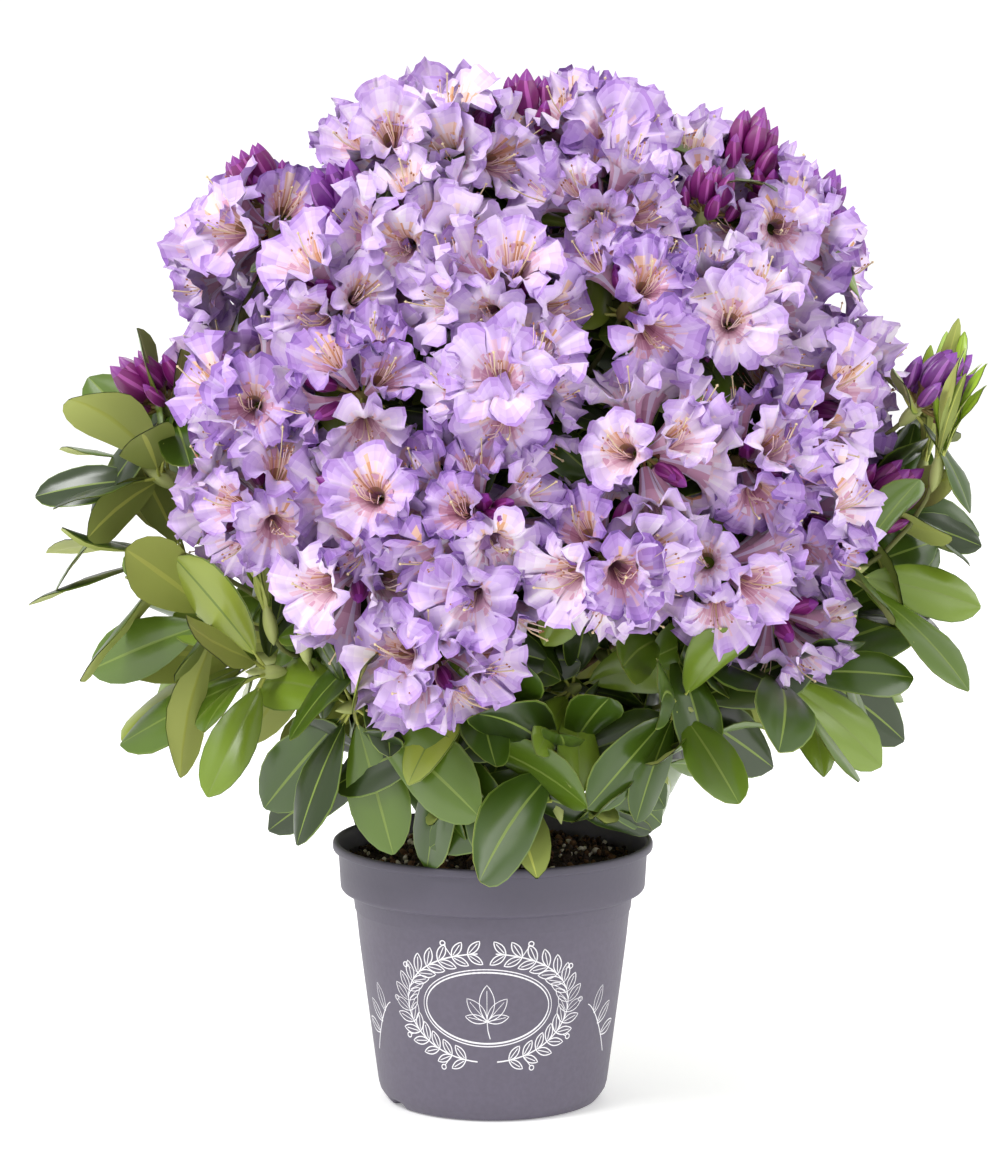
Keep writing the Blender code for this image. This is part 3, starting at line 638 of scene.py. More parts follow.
def petal_places(blooms):
    """The colour step of each face.

    Lilac goes by a sum: pale in the middle of the lobe, deeper to the margin, with each bloom's and
    lobe's own shade, and deeper in the frill's troughs and paler on its crests, which is painted
    shade and painted light of the folds. The throat is mauve, deeper between the ribs.
    The upper lobe carries a flare of gold and brown streaks of uneven length, which spreads a
    little to its neighbours.
    """
    draws = blooms["draws"]
    count = len(draws)
    rng = np.random.default_rng(SEED + 5)
    s = axes(np.add(BLOOM_STATIONS[1:], BLOOM_STATIONS[:-1]) / 2, 1)
    edges = np.linspace(-1, 1, BLOOM_COLUMNS + 1)
    t = (edges[1:] + edges[:-1]) / 2
    lift = lobe_waves(blooms, s, t)[0]
    noise = rng.random((count, LOBES, BLOOM_ROWS, BLOOM_COLUMNS)) - 0.5
    own = lobe_draws(blooms, 11) - 0.5
    shade = axes(np.array(TONE_SHADES)[blooms["tone"]], 3)
    streaks = rng.random((count, LOBES, 1, BLOOM_COLUMNS)) - 0.5
    value = 1.5 + 3.2 * smooth((s - 0.45) / 0.5) + 1.3 * (s > 0.93) + shade + 1.9 * own
    value = value + 0.4 * noise + 1.0 * streaks
    # painted shade and light: faces in the frill's troughs take deeper lilac steps, those on its crests
    # paler ones
    value = value - 330 * lift - 0.9 * np.exp(-((t / 0.3) ** 2)) * (s < 0.9)
    places = np.clip(np.rint(value), 0, len(LILACS) - 1).astype(np.int32)
    depth = 0.5 + 3.4 * np.clip(1 - s / 0.46, 0, 1) + 1.2 * np.abs(t) ** 2 + 0.5 * shade + 0.8 * noise
    mauve = np.clip(np.rint(depth + 1.2 * streaks), 0, len(MAUVES) - 1).astype(np.int32) + len(LILACS)
    vein = rng.random((count, LOBES, 1, BLOOM_COLUMNS)) < 0.30
    throat = s + 0.12 * noise - 0.06 * np.abs(t) - 0.14 * vein < 0.47
    places = np.where(throat, mauve, places)
    strength = axes(0.35 + 0.85 * draws[:, 2], 2)
    for lobe, lean in ((0, 0.0), (1, -1.15), (4, 1.15)):
        reach = (1 - np.abs(t - lean) ** 1.5) * strength
        end = 0.36 + 0.38 * reach * (0.50 + 0.80 * rng.random((count, 1, BLOOM_COLUMNS)))
        streak = rng.choice(4, (count, 1, BLOOM_COLUMNS), p=(0.26, 0.34, 0.26, 0.14))
        gold = np.where(s > end - 0.15, np.clip(streak - 1, 0, None), streak)
        gold = np.where(s < 0.34, len(GOLDS) - 1 - (streak > 1), gold)
        shown = (reach > 0.12) & (s < end) & (s > 0.20)
        gold = gold + len(LILACS) + len(MAUVES)
        places[:, lobe] = np.where(shown, gold, places[:, lobe])
    return places.reshape(count * LOBES, BLOOM_ROWS, BLOOM_COLUMNS)


def bloom_backs(blooms):
    """The outside of each funnel: rings carried from foot to lobes, just outside it, five-ribbed."""
    foot, ray, rise, side = (each[:, None, None] for each in bloom_axes(blooms))
    sides = 3 * LOBES
    wide = blooms["open"][:, None]
    shares = np.array(BACK_SHARES)
    radius = np.interp(shares, FUNNEL_SHARES, FUNNEL_RADII)
    radius = radius * (1 + (wide - 1) * shares) + 0.0006
    height = np.interp(shares, FUNNEL_SHARES, FUNNEL_HEIGHTS) * (1 + 0.7 * (1 - wide) * shares)
    turn = axes((np.arange(sides) - 0.5) * 2 * math.pi / sides, 1)
    size = axes(blooms["size"], 3)
    spread = around(rise, side, turn) * axes(radius, 2) * size
    return (foot + spread + ray * axes(height, 2) * size)[:, :, ::-1]


def back_places(blooms):
    """A pale rib down each lobe and pinkish mauve between, on the outside of each funnel."""
    column = (np.arange(3 * LOBES) - 1) % 3
    rib = np.where(column == 1, 1, len(LILACS) + 2)
    rib = rib[::-1] + axes((1, 1, 0, 0), 1)
    return np.broadcast_to(rib, (len(blooms["size"]), 4, 3 * LOBES))


def stamen_paths(blooms):
    """Stamens and, last, the pistil of each bloom: they lean to the lower lobe and turn up."""
    foot, ray, rise, side = (each[:, None, None] for each in bloom_axes(blooms))
    draws = np.random.default_rng(SEED).random((len(foot), STAMENS + 1, 4))
    t = axes((0.25, 0.55, 0.8, 1.0), 1)
    length = 0.030 + 0.011 * draws[..., 0]
    length[:, -1] = 0.045
    drift = axes((draws[..., 1] - 0.5) * 0.016, 2)
    sink = axes(0.003 + 0.007 * draws[..., 2], 2)
    hook = axes(0.006 + 0.009 * draws[..., 3], 2)
    lean = ray * (axes(length, 2) * t) + side * (drift * t**1.5) + rise * (hook * t**4 - sink * t)
    return foot + lean * axes(blooms["size"], 3)


# Leaves

def whorl(shoot):
    """The leaves of a shoot: those of the solids, then smaller ones set between them."""
    kind = shoot["kind"]
    aim = shoot["aim"]
    count, low, high, short, long, share, sag = KINDS[kind]
    draws = shoot["draws"]
    extra, smaller = MORE_LEAVES[kind]
    rolls = LEAF_ROLL
    light = FACE_TO_LIGHT * UP
    full = FULLNESS[kind]
    if shoot["wing"]:
        low, high = WING_TILTS
        extra = 0
        rolls = WING_ROLL[int(aim[0] > 0)]
        sag = WING_SAG
        full = WING_FULLNESS
        if aim[0] > 0:
            light = light - WING_TO_FRONT * BACK
    if shoot["late"] and kind == "buds":
        count, extra = LATE_LEAVES, 0
    leaves = []
    for k in range(count + extra):
        a, b, c, d = draws[k] if k < count else shoot["rng"].random(4)
        turn = 2 * math.pi * (draws[0][0] + k / count) + (a - 0.5) * WHORL_JITTER
        if k >= count:
            turn += math.pi / count + math.pi * (k - count) / extra
            b = b * 0.8
        heading = turned_about(aim, math.radians(low + (high - low) * b), turn)
        face = unit(aim - heading * (aim @ heading) + light)
        face = unit(face - heading * (face @ heading))
        roll = (d - 0.5) * rolls
        face = math.cos(roll) * face + math.sin(roll) * np.cross(heading, face)
        root = shoot["centre"] - aim * LEAF_DROP[kind] + heading * LEAF_START
        length = (short + (long - short) * c) * (1.0 if k < count else smaller) * shoot["scale"]
        leaves.append((root, heading, face, length, share * full, sag * (0.5 + d), a, kind == "young",
                       shoot["wing"]))
    return leaves


def leaf_arrays(leaves):
    """The leaves as arrays, turned up to keep to the hem and drawn in at the crown's right.

    Those that would cross the pot, or hang far below the hem, are left out.
    """
    root, heading, face, length, share, sag, draw, young, wing = (np.array(row) for row in zip(*leaves))
    hangs = 0
    for _ in range(HEM_PASSES):
        tip = root + heading * length[:, None] - UP * (sag * length)[:, None]
        hem = np.interp(tip[:, 0], HEM_SIDEWAYS, HEM_HEIGHTS)
        hem = hem + HEM_RISE * np.clip(np.abs(tip[:, 1]) - HEM_FROM, 0, None)
        short_by = hem - tip[:, 2]
        hangs = np.maximum(hangs, short_by)
        heading = unit(heading * length[:, None] + UP * np.clip(short_by, 0, None)[:, None])
        face = unit(face - heading * dot(face, heading))
    past = np.clip(root[:, 0] + heading[:, 0] * length - RIGHT_MOST, 0, None)
    length = length - past / np.clip(heading[:, 0], 0.5, 1)
    t = axes(np.linspace(0.3, 1, 8), 1)
    line = root[:, None] + heading[:, None] * axes(length, 2) * t - UP * axes(sag * length, 2) * t**2
    low = line[..., 2] < POT_HEIGHT + 0.004
    near = np.hypot(line[..., 0], line[..., 1]) < LIP_RADIUS + 0.007
    keep = ~(low & near).any(axis=1) & (hangs < HEM_MOST * length)
    names = ("root", "heading", "face", "length", "share", "sag", "draw", "young", "wing")
    values = (root, heading, face, length, share, sag, draw, young, wing)
    return {name: value[keep] for name, value in zip(names, values)}


def blade_grids(leaves, across_shares, under):
    """The blade of every leaf, as grids (leaves, rows, columns, 3).

    The midrib is a parabola that sags from root to tip. Half the blade's width at t goes with
    sin(pi t^1.12) to the power 0.60, blunt at the tip. Its sides rise from the midrib and roll
    down to the margin, the side veins run forward and stand in low ridges, and the margin waves.
    The rows stand closer together near both ends.
    """
    even = axes(np.linspace(0, 1, LEAF_ROWS + 1), 1)
    t = 0.5 * even + 0.25 * (1 - np.cos(math.pi * even))
    x = np.array(across_shares)
    root, heading, face = (leaves[name][:, None, None] for name in ("root", "heading", "face"))
    length, share, sag, draw = (axes(leaves[name], 2) for name in ("length", "share", "sag", "draw"))
    outline = np.sin(math.pi * np.clip(t, 0.004, 0.997) ** 1.12) ** 0.60
    half = length * share / 2 * outline
    slant = 0.075 * np.abs(x) ** 1.2 * np.sin(math.pi * t)
    along = BLADE_START + (1 - BLADE_START) * np.clip(t + slant, 0, 1)
    fold = 0.10 + 0.34 * draw
    crown = half * (fold * np.abs(x) - 0.34 * x**2)
    ridge = 0.00022 * axes(np.where(np.arange(LEAF_ROWS + 1) % 2, 1, -1), 1)
    ridge = ridge * (np.abs(x) < 0.94) * (np.abs(x) > 0.05) * np.sin(math.pi * t)
    groove = -0.0005 * (np.abs(x) < 0.05) * (1 - t)
    wave = 0.0024 * x**2 * outline * np.sin(t * 7 + draw * 6.3 + 1.6 * np.sign(x))
    relief = crown + ridge + groove + wave
    if under:
        relief = relief - 0.0009 - 0.0007 * (np.abs(x) < 0.1) * (1 - 0.7 * t)
        relief = relief + 0.0003 * (np.abs(x) > 0.99)
    curl = 0.55 * (draw - 0.30) * length * np.clip(along - 0.35, 0, 1) ** 2
    bend = 0.22 * (draw - 0.5) * length * along**2
    points = root + heading * (length * along)[..., None] - UP * (sag * length * along**2)[..., None]
    points = points + np.cross(heading, face) * (half * x + bend)[..., None]
    points = points + face * (relief - curl)[..., None]
    return points[:, :, ::-1] if under else points


def leafstalks(leaves):
    """The stalk of every leaf: a thin tube from its root to where the blade starts."""
    t = axes(np.linspace(-0.02, BLADE_START + 0.03, 4), 1)
    length = axes(leaves["length"], 2)
    line = leaves["root"][:, None] + leaves["heading"][:, None] * length * t
    line = line - UP * axes(leaves["sag"], 2) * length * t**2 - leaves["face"][:, None] * 0.0008
    return tubes(line, np.broadcast_to((0.0015, 0.0013, 0.0012, 0.0007), line.shape[:2]), 5)


# Buds and knots

def spindles(centre, aim, foot, tip, radius, rows, sides, rib, twist, blunt=0.85):
    """Pointed ovals along aim: the radius goes with sin(pi t^0.8)^blunt, ribbed and twisted along t."""
    t = axes(np.linspace(0.0, 1.0, rows + 1), 1)
    shape = np.sin(math.pi * np.clip(t, 0.004, 0.999) ** 0.8) ** blunt
    guide = np.where(np.abs(aim[:, 2:]) > 0.9, BACK, UP)
    rise, side = (each[:, None, None] for each in square_to(aim, guide))
    turn = ring_angles(sides)
    ribs = axes(1 + rib * np.cos(LOBES * turn), 1)
    reach = np.asarray(radius).reshape(-1, 1, 1, 1) * axes(shape, 1)
    points = centre[:, None, None] + aim[:, None, None] * axes(-foot + (foot + tip) * t, 1)
    return points + around(rise, side, (turn + twist * t)[..., None]) * reach * ribs


def bud_rays(aim, turn):
    """The way each flower bud of a group points: one along the shoot and five round it."""
    turns = [turn + k * 2 * math.pi / LOBES for k in range(LOBES)]
    return np.array([aim] + [turned_about(aim, BUD_TILT, each) for each in turns])


def tucked_buds(shoots, blooms):
    """Unopened buds in the widest gaps that the blooms of a truss leave: their hearts and rays."""
    faces = blooms["heart"] + blooms["ray"] * (FACE_REACH * blooms["size"])[:, None]
    rng = np.random.default_rng(SEED + 8)
    found = []
    for shoot in shoots:
        if shoot["kind"] != "truss":
            continue
        rays = unit(shoot["aim"] + 1.7 * (rng.random((TUCKED_TRIES, 3)) - 0.5))
        tips = shoot["centre"] + rays * 0.046
        away = np.linalg.norm(tips[:, None] - faces, axis=2).min(axis=1)
        for k in np.argsort(-away)[:TUCKED_BUDS]:
            if away[k] > TUCKED_ROOM:
                found.append((shoot["centre"], rays[k]))
    return found


# The whole crown

def grow_shoots():
    """Every shoot of the plan, with its place, aim, draws and the wood that leads to it."""
    plan = crown_plan()
    rises = {name: np.mean([shoot[2] for shoot in shoots]) for name, shoots in plan.items()}
    low = min(rises.values())
    high = max(rises.values())
    shoots = []
    boughs = []
    twigs = []
    forks = {}

    def at_side(kind, bearing):
        """Whether it is a whorl at one of the crown's two sides."""
        return kind == "leafy" and abs(math.cos(math.radians(bearing))) < WING_SPAN

    def grow(centre, aim, start, kind, scale, wing=False, late=False):
        """Adds a shoot with draws of its own, and the twig that leads to it."""
        rng = np.random.default_rng(SEED + len(shoots))
        draws = rng.random((8, 4))
        turn = rng.random() * 2 * math.pi
        span = np.linalg.norm(centre - start)
        twigs.append(bend_of(start, centre - aim * span * TWIG_SWEEP, centre, TWIG_STEPS))
        shoots.append({"kind": kind, "centre": centre, "aim": aim, "turn": turn, "draws": draws,
                       "rng": rng, "scale": scale, "wing": wing, "late": late})

    def grow_outer(name, kind, bearing, rise, reach, scale, late=False):
        """Adds a shoot at its place in the plan, from its mass's fork."""
        grow(HEART + outward(bearing, rise, reach), shoot_aim(bearing, rise, kind), forks[name], kind,
             scale, at_side(kind, bearing), late)

    for row, (name, members) in enumerate(plan.items()):
        share = (rises[name] - low) / (high - low)
        height = BOUGH_LOW + (BOUGH_HIGH - BOUGH_LOW) * share + BOUGH_STAGGER * (row % 2)
        route, fork = bough_route(members, height, BOUGH_STEPS)
        forks[name] = fork
        onward = bend_of(route[-1], (route[-1] + fork) / 2, fork, FORK_STEPS)
        boughs.append(np.concatenate([route, onward[1:]]))
        for member in members:
            grow_outer(name, *member, LEAFY_SCALE if member[0] == "leafy" else 1.0)
    for name, members in LATE_SHOOTS.items():
        for member in members:
            grow_outer(name, *member, True)
    for name, members in plan.items():
        for kind, bearing, rise, reach in members:
            if kind != "leafy":
                continue
            centre = HEART + outward(bearing, rise, reach)
            aim = shoot_aim(bearing, rise, kind)
            for turn, tilt, away, scale in () if at_side(kind, bearing) else SIDE_SHOOTS:
                way = turned_about(aim, math.radians(90), math.radians(turn))
                leant = turned_about(aim, math.radians(tilt), math.radians(turn))
                grow(centre + way * away / 1000 - aim * away / 1800, leant, forks[name], kind, scale)
            inner = HEART + (centre - HEART) * INNER_SHARE - UP * INNER_DROP
            grow(inner, unit(toward(bearing + 12, rise) + 0.3 * UP), forks[name], kind, INNER_SCALE)
    for name, members in plan.items():
        if any(kind == "truss" for kind, *_ in members):
            away = np.mean([outward(*member[1:]) for member in members], axis=0)
            grow(HEART + away * CORE_SHARE, unit(away), forks[name], "leafy", 1.0)
    return list(plan), shoots, np.array(boughs), np.array(twigs)


def places_and_aims(shoots, trusses):
    """The places and aims of the shoots that are trusses, or of those that aren't."""
    chosen = [shoot for shoot in shoots if (shoot["kind"] == "truss") == trusses]
    return (np.array([shoot[key] for shoot in chosen]) for key in ("centre", "aim"))


def make_blossom(shoots):
    """Petals, dealt in plan order to four pieces of like size, and the stamens."""
    blooms = plan_blooms(shoots)
    steps = LILACS + MAUVES + GOLDS
    petals = [plain(f"petal_{k}", colour, 0.55, sheen=0.25) for k, colour in enumerate(steps)]
    for part in range(BLOSSOM_PIECES):
        chosen = {key: value[part::BLOSSOM_PIECES] for key, value in blooms.items()}
        net = Net()
        net.grids(petal_grids(chosen), petal_places(chosen))
        net.grids(bloom_backs(chosen), back_places(chosen), True)
        net.piece(f"blossom_{part + 1}", petals)
    paths = stamen_paths(blooms)
    stamens = paths[:, :-1].reshape(-1, paths.shape[2], 3)
    pistils = paths[:, -1]
    threads = Net()
    for lines, thick, place in ((stamens, 0.00040, 0), (pistils, 0.0006, 1)):
        threads.grids(tubes(lines, np.full(lines.shape[:2], thick), 3), place, True)
    for lines, tip, sides, place in ((stamens, (0.0010, 0.0016, 0.00085), 4, 2),
                                     (pistils, (0.0012, 0.0014, 0.0013), 5, 1)):
        aims = unit(lines[:, -1] - lines[:, -2])
        threads.grids(spindles(lines[:, -1], aims, *tip, 2, sides, 0, 0), place, True)
    colours = [plain("stamen_cream", (244, 216, 204), 0.5), plain("pistil_green", (222, 202, 158), 0.5),
               plain("anther_brown", (168, 112, 78), 0.7)]
    threads.piece("stamens", colours)
    return blooms


def make_stalks(blooms, shoots):
    """Flower stalks: from the truss's heart to each bloom's foot, bowed a little upward."""
    net = Net()
    foot, ray, rise = bloom_axes(blooms)[:3]
    t = axes(np.linspace(0, 1, 4), 1)
    bow = rise[:, None] * (0.0016 * np.sin(math.pi * t))
    paths = blooms["heart"][:, None] * (1 - t) + (foot + ray * 0.001)[:, None] * t + bow
    radii = np.broadcast_to((0.0013, 0.0010, 0.0010, 0.0019), paths.shape[:2])
    net.grids(tubes(paths, radii, 5), axes(blooms["draws"][:, 2] > RED_STALKS, 2), True)
    net.grids(spindles(*places_and_aims(shoots, True), 0.016, 0.008, 0.0058, 6, 8, 0.1, 0.6), 2, True)
    colours = [plain("flower_stalk_green", (150, 160, 70), 0.6),
               plain("flower_stalk_red", (142, 92, 60), 0.6), plain("truss_scale", (124, 112, 58), 0.7)]
    net.piece("flower_stalks", colours)


def make_buds(shoots, blooms):
    """Flower buds in tight upright groups and in the trusses' gaps: plump, ribbed, each on its stalk."""
    rows = []
    for place, shoot in enumerate(shoot for shoot in shoots if shoot["kind"] == "buds"):
        heart = shoot["centre"]
        aim = shoot["aim"]
        scale = shoot["scale"]
        violet = place % 3 == 2
        for k, ray in enumerate(bud_rays(aim, shoot["turn"])):
            grown = scale * (1.0 if k else 1.10)
            rows.append((heart, heart + (ray - aim) * BUD_SPREAD, ray, grown, violet))
        for ray in bud_rays(aim, shoot["turn"] + 0.6)[1:]:
            low = unit(ray + (ray - aim) * 1.8)
            foot = heart + (low - aim) * BUD_SPREAD * 0.6 - aim * 0.004
            rows.append((heart, foot, low, scale * LOW_BUD_SCALE, violet))
    for heart, ray in tucked_buds(shoots, blooms):
        rows.append((heart, heart + ray * 0.010, ray, TUCKED_SCALE, False))
    hearts, feet, rays, scales, violets = (np.array(column) for column in zip(*rows))
    draws = np.random.default_rng(SEED + 1).random(len(rays))
    reach = scales * (0.90 + 0.20 * draws)
    middle = feet + rays * (0.026 * reach)[:, None]
    shape = spindles(np.zeros_like(middle), rays, 0.016, BUD_LENGTH - 0.018, 0.0066 + 0.0010 * draws,
                     BUD_ROWS, BUD_SIDES, 0.13, 0.9, 0.74)
    row = axes(np.arange(BUD_ROWS), 1)
    tones = len(BUD_TONES[0])
    place = np.maximum(np.arange(BUD_SIDES) % 4 == 2, np.where(row > BUD_ROWS - 3, 2, 0))
    place = np.where(row < 1, 2 * tones, place + tones * axes(violets, 2))
    net = Net()
    net.grids(middle[:, None, None] + shape * axes(reach, 3), place, True)
    t = axes(np.linspace(0, 1, 5), 1)
    ends = feet + rays * 0.013
    knees = hearts + (ends - hearts) * 0.5 + (ends - middle) * 0.3
    paths = (1 - t) ** 2 * hearts[:, None] + 2 * t * (1 - t) * knees[:, None] + t**2 * ends[:, None]
    net.grids(tubes(paths, np.full(paths.shape[:2], 0.0013), 5), 2 * tones + 1, True)
    materials = [plain(f"bud_{name}_{part}", colour, 0.42, coat=0.2)
                 for name, tone in zip(("magenta", "violet"), BUD_TONES)
                 for part, colour in zip(("deep", "rib", "tip"), tone)]
    materials += [plain("bud_bract", (132, 92, 78), 0.6), plain("bud_stalk", (138, 118, 62), 0.6)]
    net.piece("flower_buds", materials)


def make_leaves(shoots, masses):
    """Leaves of every whorl: a glossy top in one of five greens, a pale underside, a light midrib."""
    leaves = leaf_arrays([leaf for shoot in shoots for leaf in whorl(shoot)])
    count = len(leaves["length"])
    greens = len(LEAF_TONES)
    rng = np.random.default_rng(SEED + 2)
    tone = rng.choice(greens, count, p=LEAF_CHANCES)
    # painted light: the left wing's leaves are dealt lighter greens, as if lit through from behind
    painted_lit_side = leaves["wing"] & (leaves["root"][:, 0] < 0)
    tone = np.where(painted_lit_side, rng.choice(greens, count, p=LEFT_WING_LIT_CHANCES), tone)
    tone = np.where(leaves["young"], greens, tone)
    columns = len(TOP_ACROSS) - 1
    places = np.broadcast_to(axes(tone, 2), (count, LEAF_ROWS, columns)).copy()
    places[:, :, columns // 2] = greens + 1
    places[:, :, (0, -1)] = greens + 2
    top = Net()
    top.grids(blade_grids(leaves, TOP_ACROSS, False), places)
    materials = [plain(f"leaf_green_{k}", colour, 0.29, 0.28) for k, colour in enumerate(LEAF_TONES)]
    materials += [plain("leaf_young", (158, 190, 56), 0.4, 0.2), plain("leaf_midrib", (116, 136, 56), 0.45),
                  plain("leaf_edge", (96, 120, 40), 0.4, 0.2)]
    top.piece("leaf_tops", materials, [f"foliage_{name}" for name in masses])
    under = Net()
    shade = axes(rng.choice(3, count), 2)
    places = np.broadcast_to(shade, (count, LEAF_ROWS, len(UNDER_ACROSS) - 1)).copy()
    places[:, :, 2] = 3
    under.grids(blade_grids(leaves, UNDER_ACROSS, True), places)
    under.grids(leafstalks(leaves), 3, True)
    materials = [plain(name, colour, roughness) for name, colour, roughness in (
        ("leaf_under_pale", (180, 188, 104), 0.6), ("leaf_under_middling", (158, 168, 80), 0.6),
        ("leaf_under_dull", (134, 146, 70), 0.6), ("leaf_stalk", (178, 184, 88), 0.5))]
    under.piece("leaf_undersides", materials)


def make_twigs(twigs, shoots):
    """Twigs from each mass's fork to its shoots, and the knot that each whorl stands on."""
    net = Net()
    radii = np.linspace(TWIG_RADIUS, TWIG_TIP_RADIUS, twigs.shape[1])
    net.grids(tubes(twigs, np.broadcast_to(radii, twigs.shape[:2]), 8), 0, True)
    knots = spindles(*places_and_aims(shoots, False), 0.020, 0.013, 0.0050, 8, 10, 0.08, 0.9)
    net.grids(knots, 1, True)
    colours = [plain("twig_green", (112, 116, 62), 0.7), plain("leaf_bud", (172, 180, 110), 0.55)]
    net.piece("twigs", colours)


def ridged(angle, along, seed):
    """Bark relief between -1 and 1: ridges that run up the stem and wander with its length."""
    wander = np.sin(along * 61 + seed) * 0.9 + np.sin(along * 23 + seed * 2) * 1.3
    ridges = np.sin(angle * 5 + wander) * 0.5 + np.sin(angle * 9 - along * 140 + seed) * 0.3
    return ridges + 0.35 * np.sin(along * 900 + 3 * np.sin(angle * 2 + seed))


def node(tree, kind, data_type=None, **values):
    """A new shader node with its inputs set: _ stands for a space in their names."""
    made = tree.nodes.new(kind)
    if data_type:
        made.data_type = data_type
    for name, value in values.items():
        made.inputs[name.replace("_", " ")].default_value = value
    return made


def link(tree, *pairs):
    """Links sockets, each pair told as a node, its output, another node and its input."""
    for source, output, goal, entry in pairs:
        tree.links.new(source.outputs[output], goal.inputs[entry])


def grain_group():
    """The flecks of bark, compost and plastic: a colour from dark to light, and a height for the bump."""
    group = bpy.data.node_groups.new("Fleck", "ShaderNodeTree")
    for name, way, kind in (("Vector", "INPUT", "Vector"), ("Scale", "INPUT", "Float"),
                            ("Detail", "INPUT", "Float"), ("Dark", "INPUT", "Color"),
                            ("Light", "INPUT", "Color"), ("Colour", "OUTPUT", "Color"),
                            ("Height", "OUTPUT", "Float")):
        group.interface.new_socket(name, in_out=way, socket_type="NodeSocket" + kind)
    inward = node(group, "NodeGroupInput")
    leaving = node(group, "NodeGroupOutput")
    noise = node(group, "ShaderNodeTexNoise")
    mix = node(group, "ShaderNodeMix", "RGBA")
    steep = node(group, "ShaderNodeMapRange", From_Min=0.35, From_Max=0.68)
    link(group, (inward, "Vector", noise, "Vector"), (inward, "Scale", noise, "Scale"),
         (inward, "Detail", noise, "Detail"), (noise, "Fac", steep, "Value"),
         (steep, "Result", mix, "Factor"), (inward, "Dark", mix, "A"), (inward, "Light", mix, "B"),
         (mix, "Result", leaving, "Colour"), (steep, "Result", leaving, "Height"))
    return group


def flecked(name, group, dark, light, scale, roughness, bump, stretch=(1, 1, 1)):
    """A Principled material whose colour and bump come from the fleck group on Object coordinates."""
    made = plain(name, light, roughness)
    tree = made.node_tree
    place = node(tree, "ShaderNodeTexCoord")
    mapping = node(tree, "ShaderNodeMapping", Scale=stretch)
    fleck = node(tree, "ShaderNodeGroup")
    fleck.node_tree = group
    values = {"Scale": scale, "Detail": FLECK_DETAIL, "Dark": screen(dark), "Light": screen(light)}
    for socket, value in values.items():
        fleck.inputs[socket].default_value = value
    relief = node(tree, "ShaderNodeBump", Strength=bump, Distance=FLECK_DEPTH)
    shader = tree.nodes["Principled BSDF"]
    link(tree, (place, "Object", mapping, "Vector"), (mapping, "Vector", fleck, "Vector"),
         (fleck, "Colour", shader, "Base Color"), (fleck, "Height", relief, "Height"),
         (relief, "Normal", shader, "Normal"))
    return made


def paint_shade_by_height(material, low, high, colour):
    """The material's colour goes over to a darker one between two heights, on Object coordinates: painted
    shade.
    """
    tree = material.node_tree
    place = node(tree, "ShaderNodeTexCoord")
    parts = node(tree, "ShaderNodeSeparateXYZ")
    climb = node(tree, "ShaderNodeMapRange", From_Min=low, From_Max=high)
    blend = node(tree, "ShaderNodeMix", "RGBA", B=screen(colour))
    base = tree.nodes["Principled BSDF"].inputs["Base Color"]
    link(tree, (place, "Object", parts, "Vector"), (parts, "Z", climb, "Value"),
         (climb, "Result", blend, "Factor"))
    tree.links.new(base.links[0].from_socket, blend.inputs["A"])
    tree.links.new(blend.outputs["Result"], base)


def make_bark(boughs, masses, group):
    """The trunk and its boughs, with ridged bark: rings along each axis, swollen by the relief."""
    net = Net()
    heights = COMPOST_TOP - 0.004 + (TRUNK_TOP + 0.004 - COMPOST_TOP) * np.linspace(0, 1, 90)
    path, radii = (np.array(column)[None] for column in zip(*(trunk_at(height) for height in heights)))
    angle = ring_angles(TRUNK_SIDES)
    along = axes(heights, 1)
    flare = 1 + 0.16 * np.cos(angle * 4) * np.clip(1 - (along - COMPOST_TOP) / 0.03, 0, 1)
    relief = (1 + 0.075 * ridged(angle, along, 0.0)) * flare
    net.grids(tubes(path, radii, TRUNK_SIDES, relief[None]), 0, True)
    tip = tubes(path[:, -2:] + UP * 0.0002, np.array([[TRUNK_TIP_RADIUS, 0.0003]]), TRUNK_SIDES)
    net.grids(tip, 0, True)
    steps = boughs.shape[1]
    radii = np.broadcast_to(np.linspace(BOUGH_RADIUS, BOUGH_TIP_RADIUS * 0.9, steps), boughs.shape[:2])
    angle = ring_angles(BOUGH_SIDES)
    seeds = axes(np.arange(len(boughs)), 2) * 1.7
    relief = 1 + 0.07 * ridged(angle, axes(np.linspace(0, 0.15, steps), 1), seeds)
    net.grids(tubes(boughs, radii, BOUGH_SIDES, relief), 0, True)
    bark = flecked("bark_brown", group, (62, 44, 30), (128, 100, 70), 210, 0.85, 0.9, (1, 1, 0.35))
    net.piece("bark", [bark], ["trunk"] + [f"bough_{name}" for name in masses])


# Pot and compost

def pot_radius(height):
    """The outside radius of the pot's body at a height."""
    return np.interp(height, (BODY_FOOT, RING_HEIGHT, BODY_TOP),
                     (BODY_FOOT_RADIUS, BODY_TOP_RADIUS - 0.0014, BODY_TOP_RADIUS))


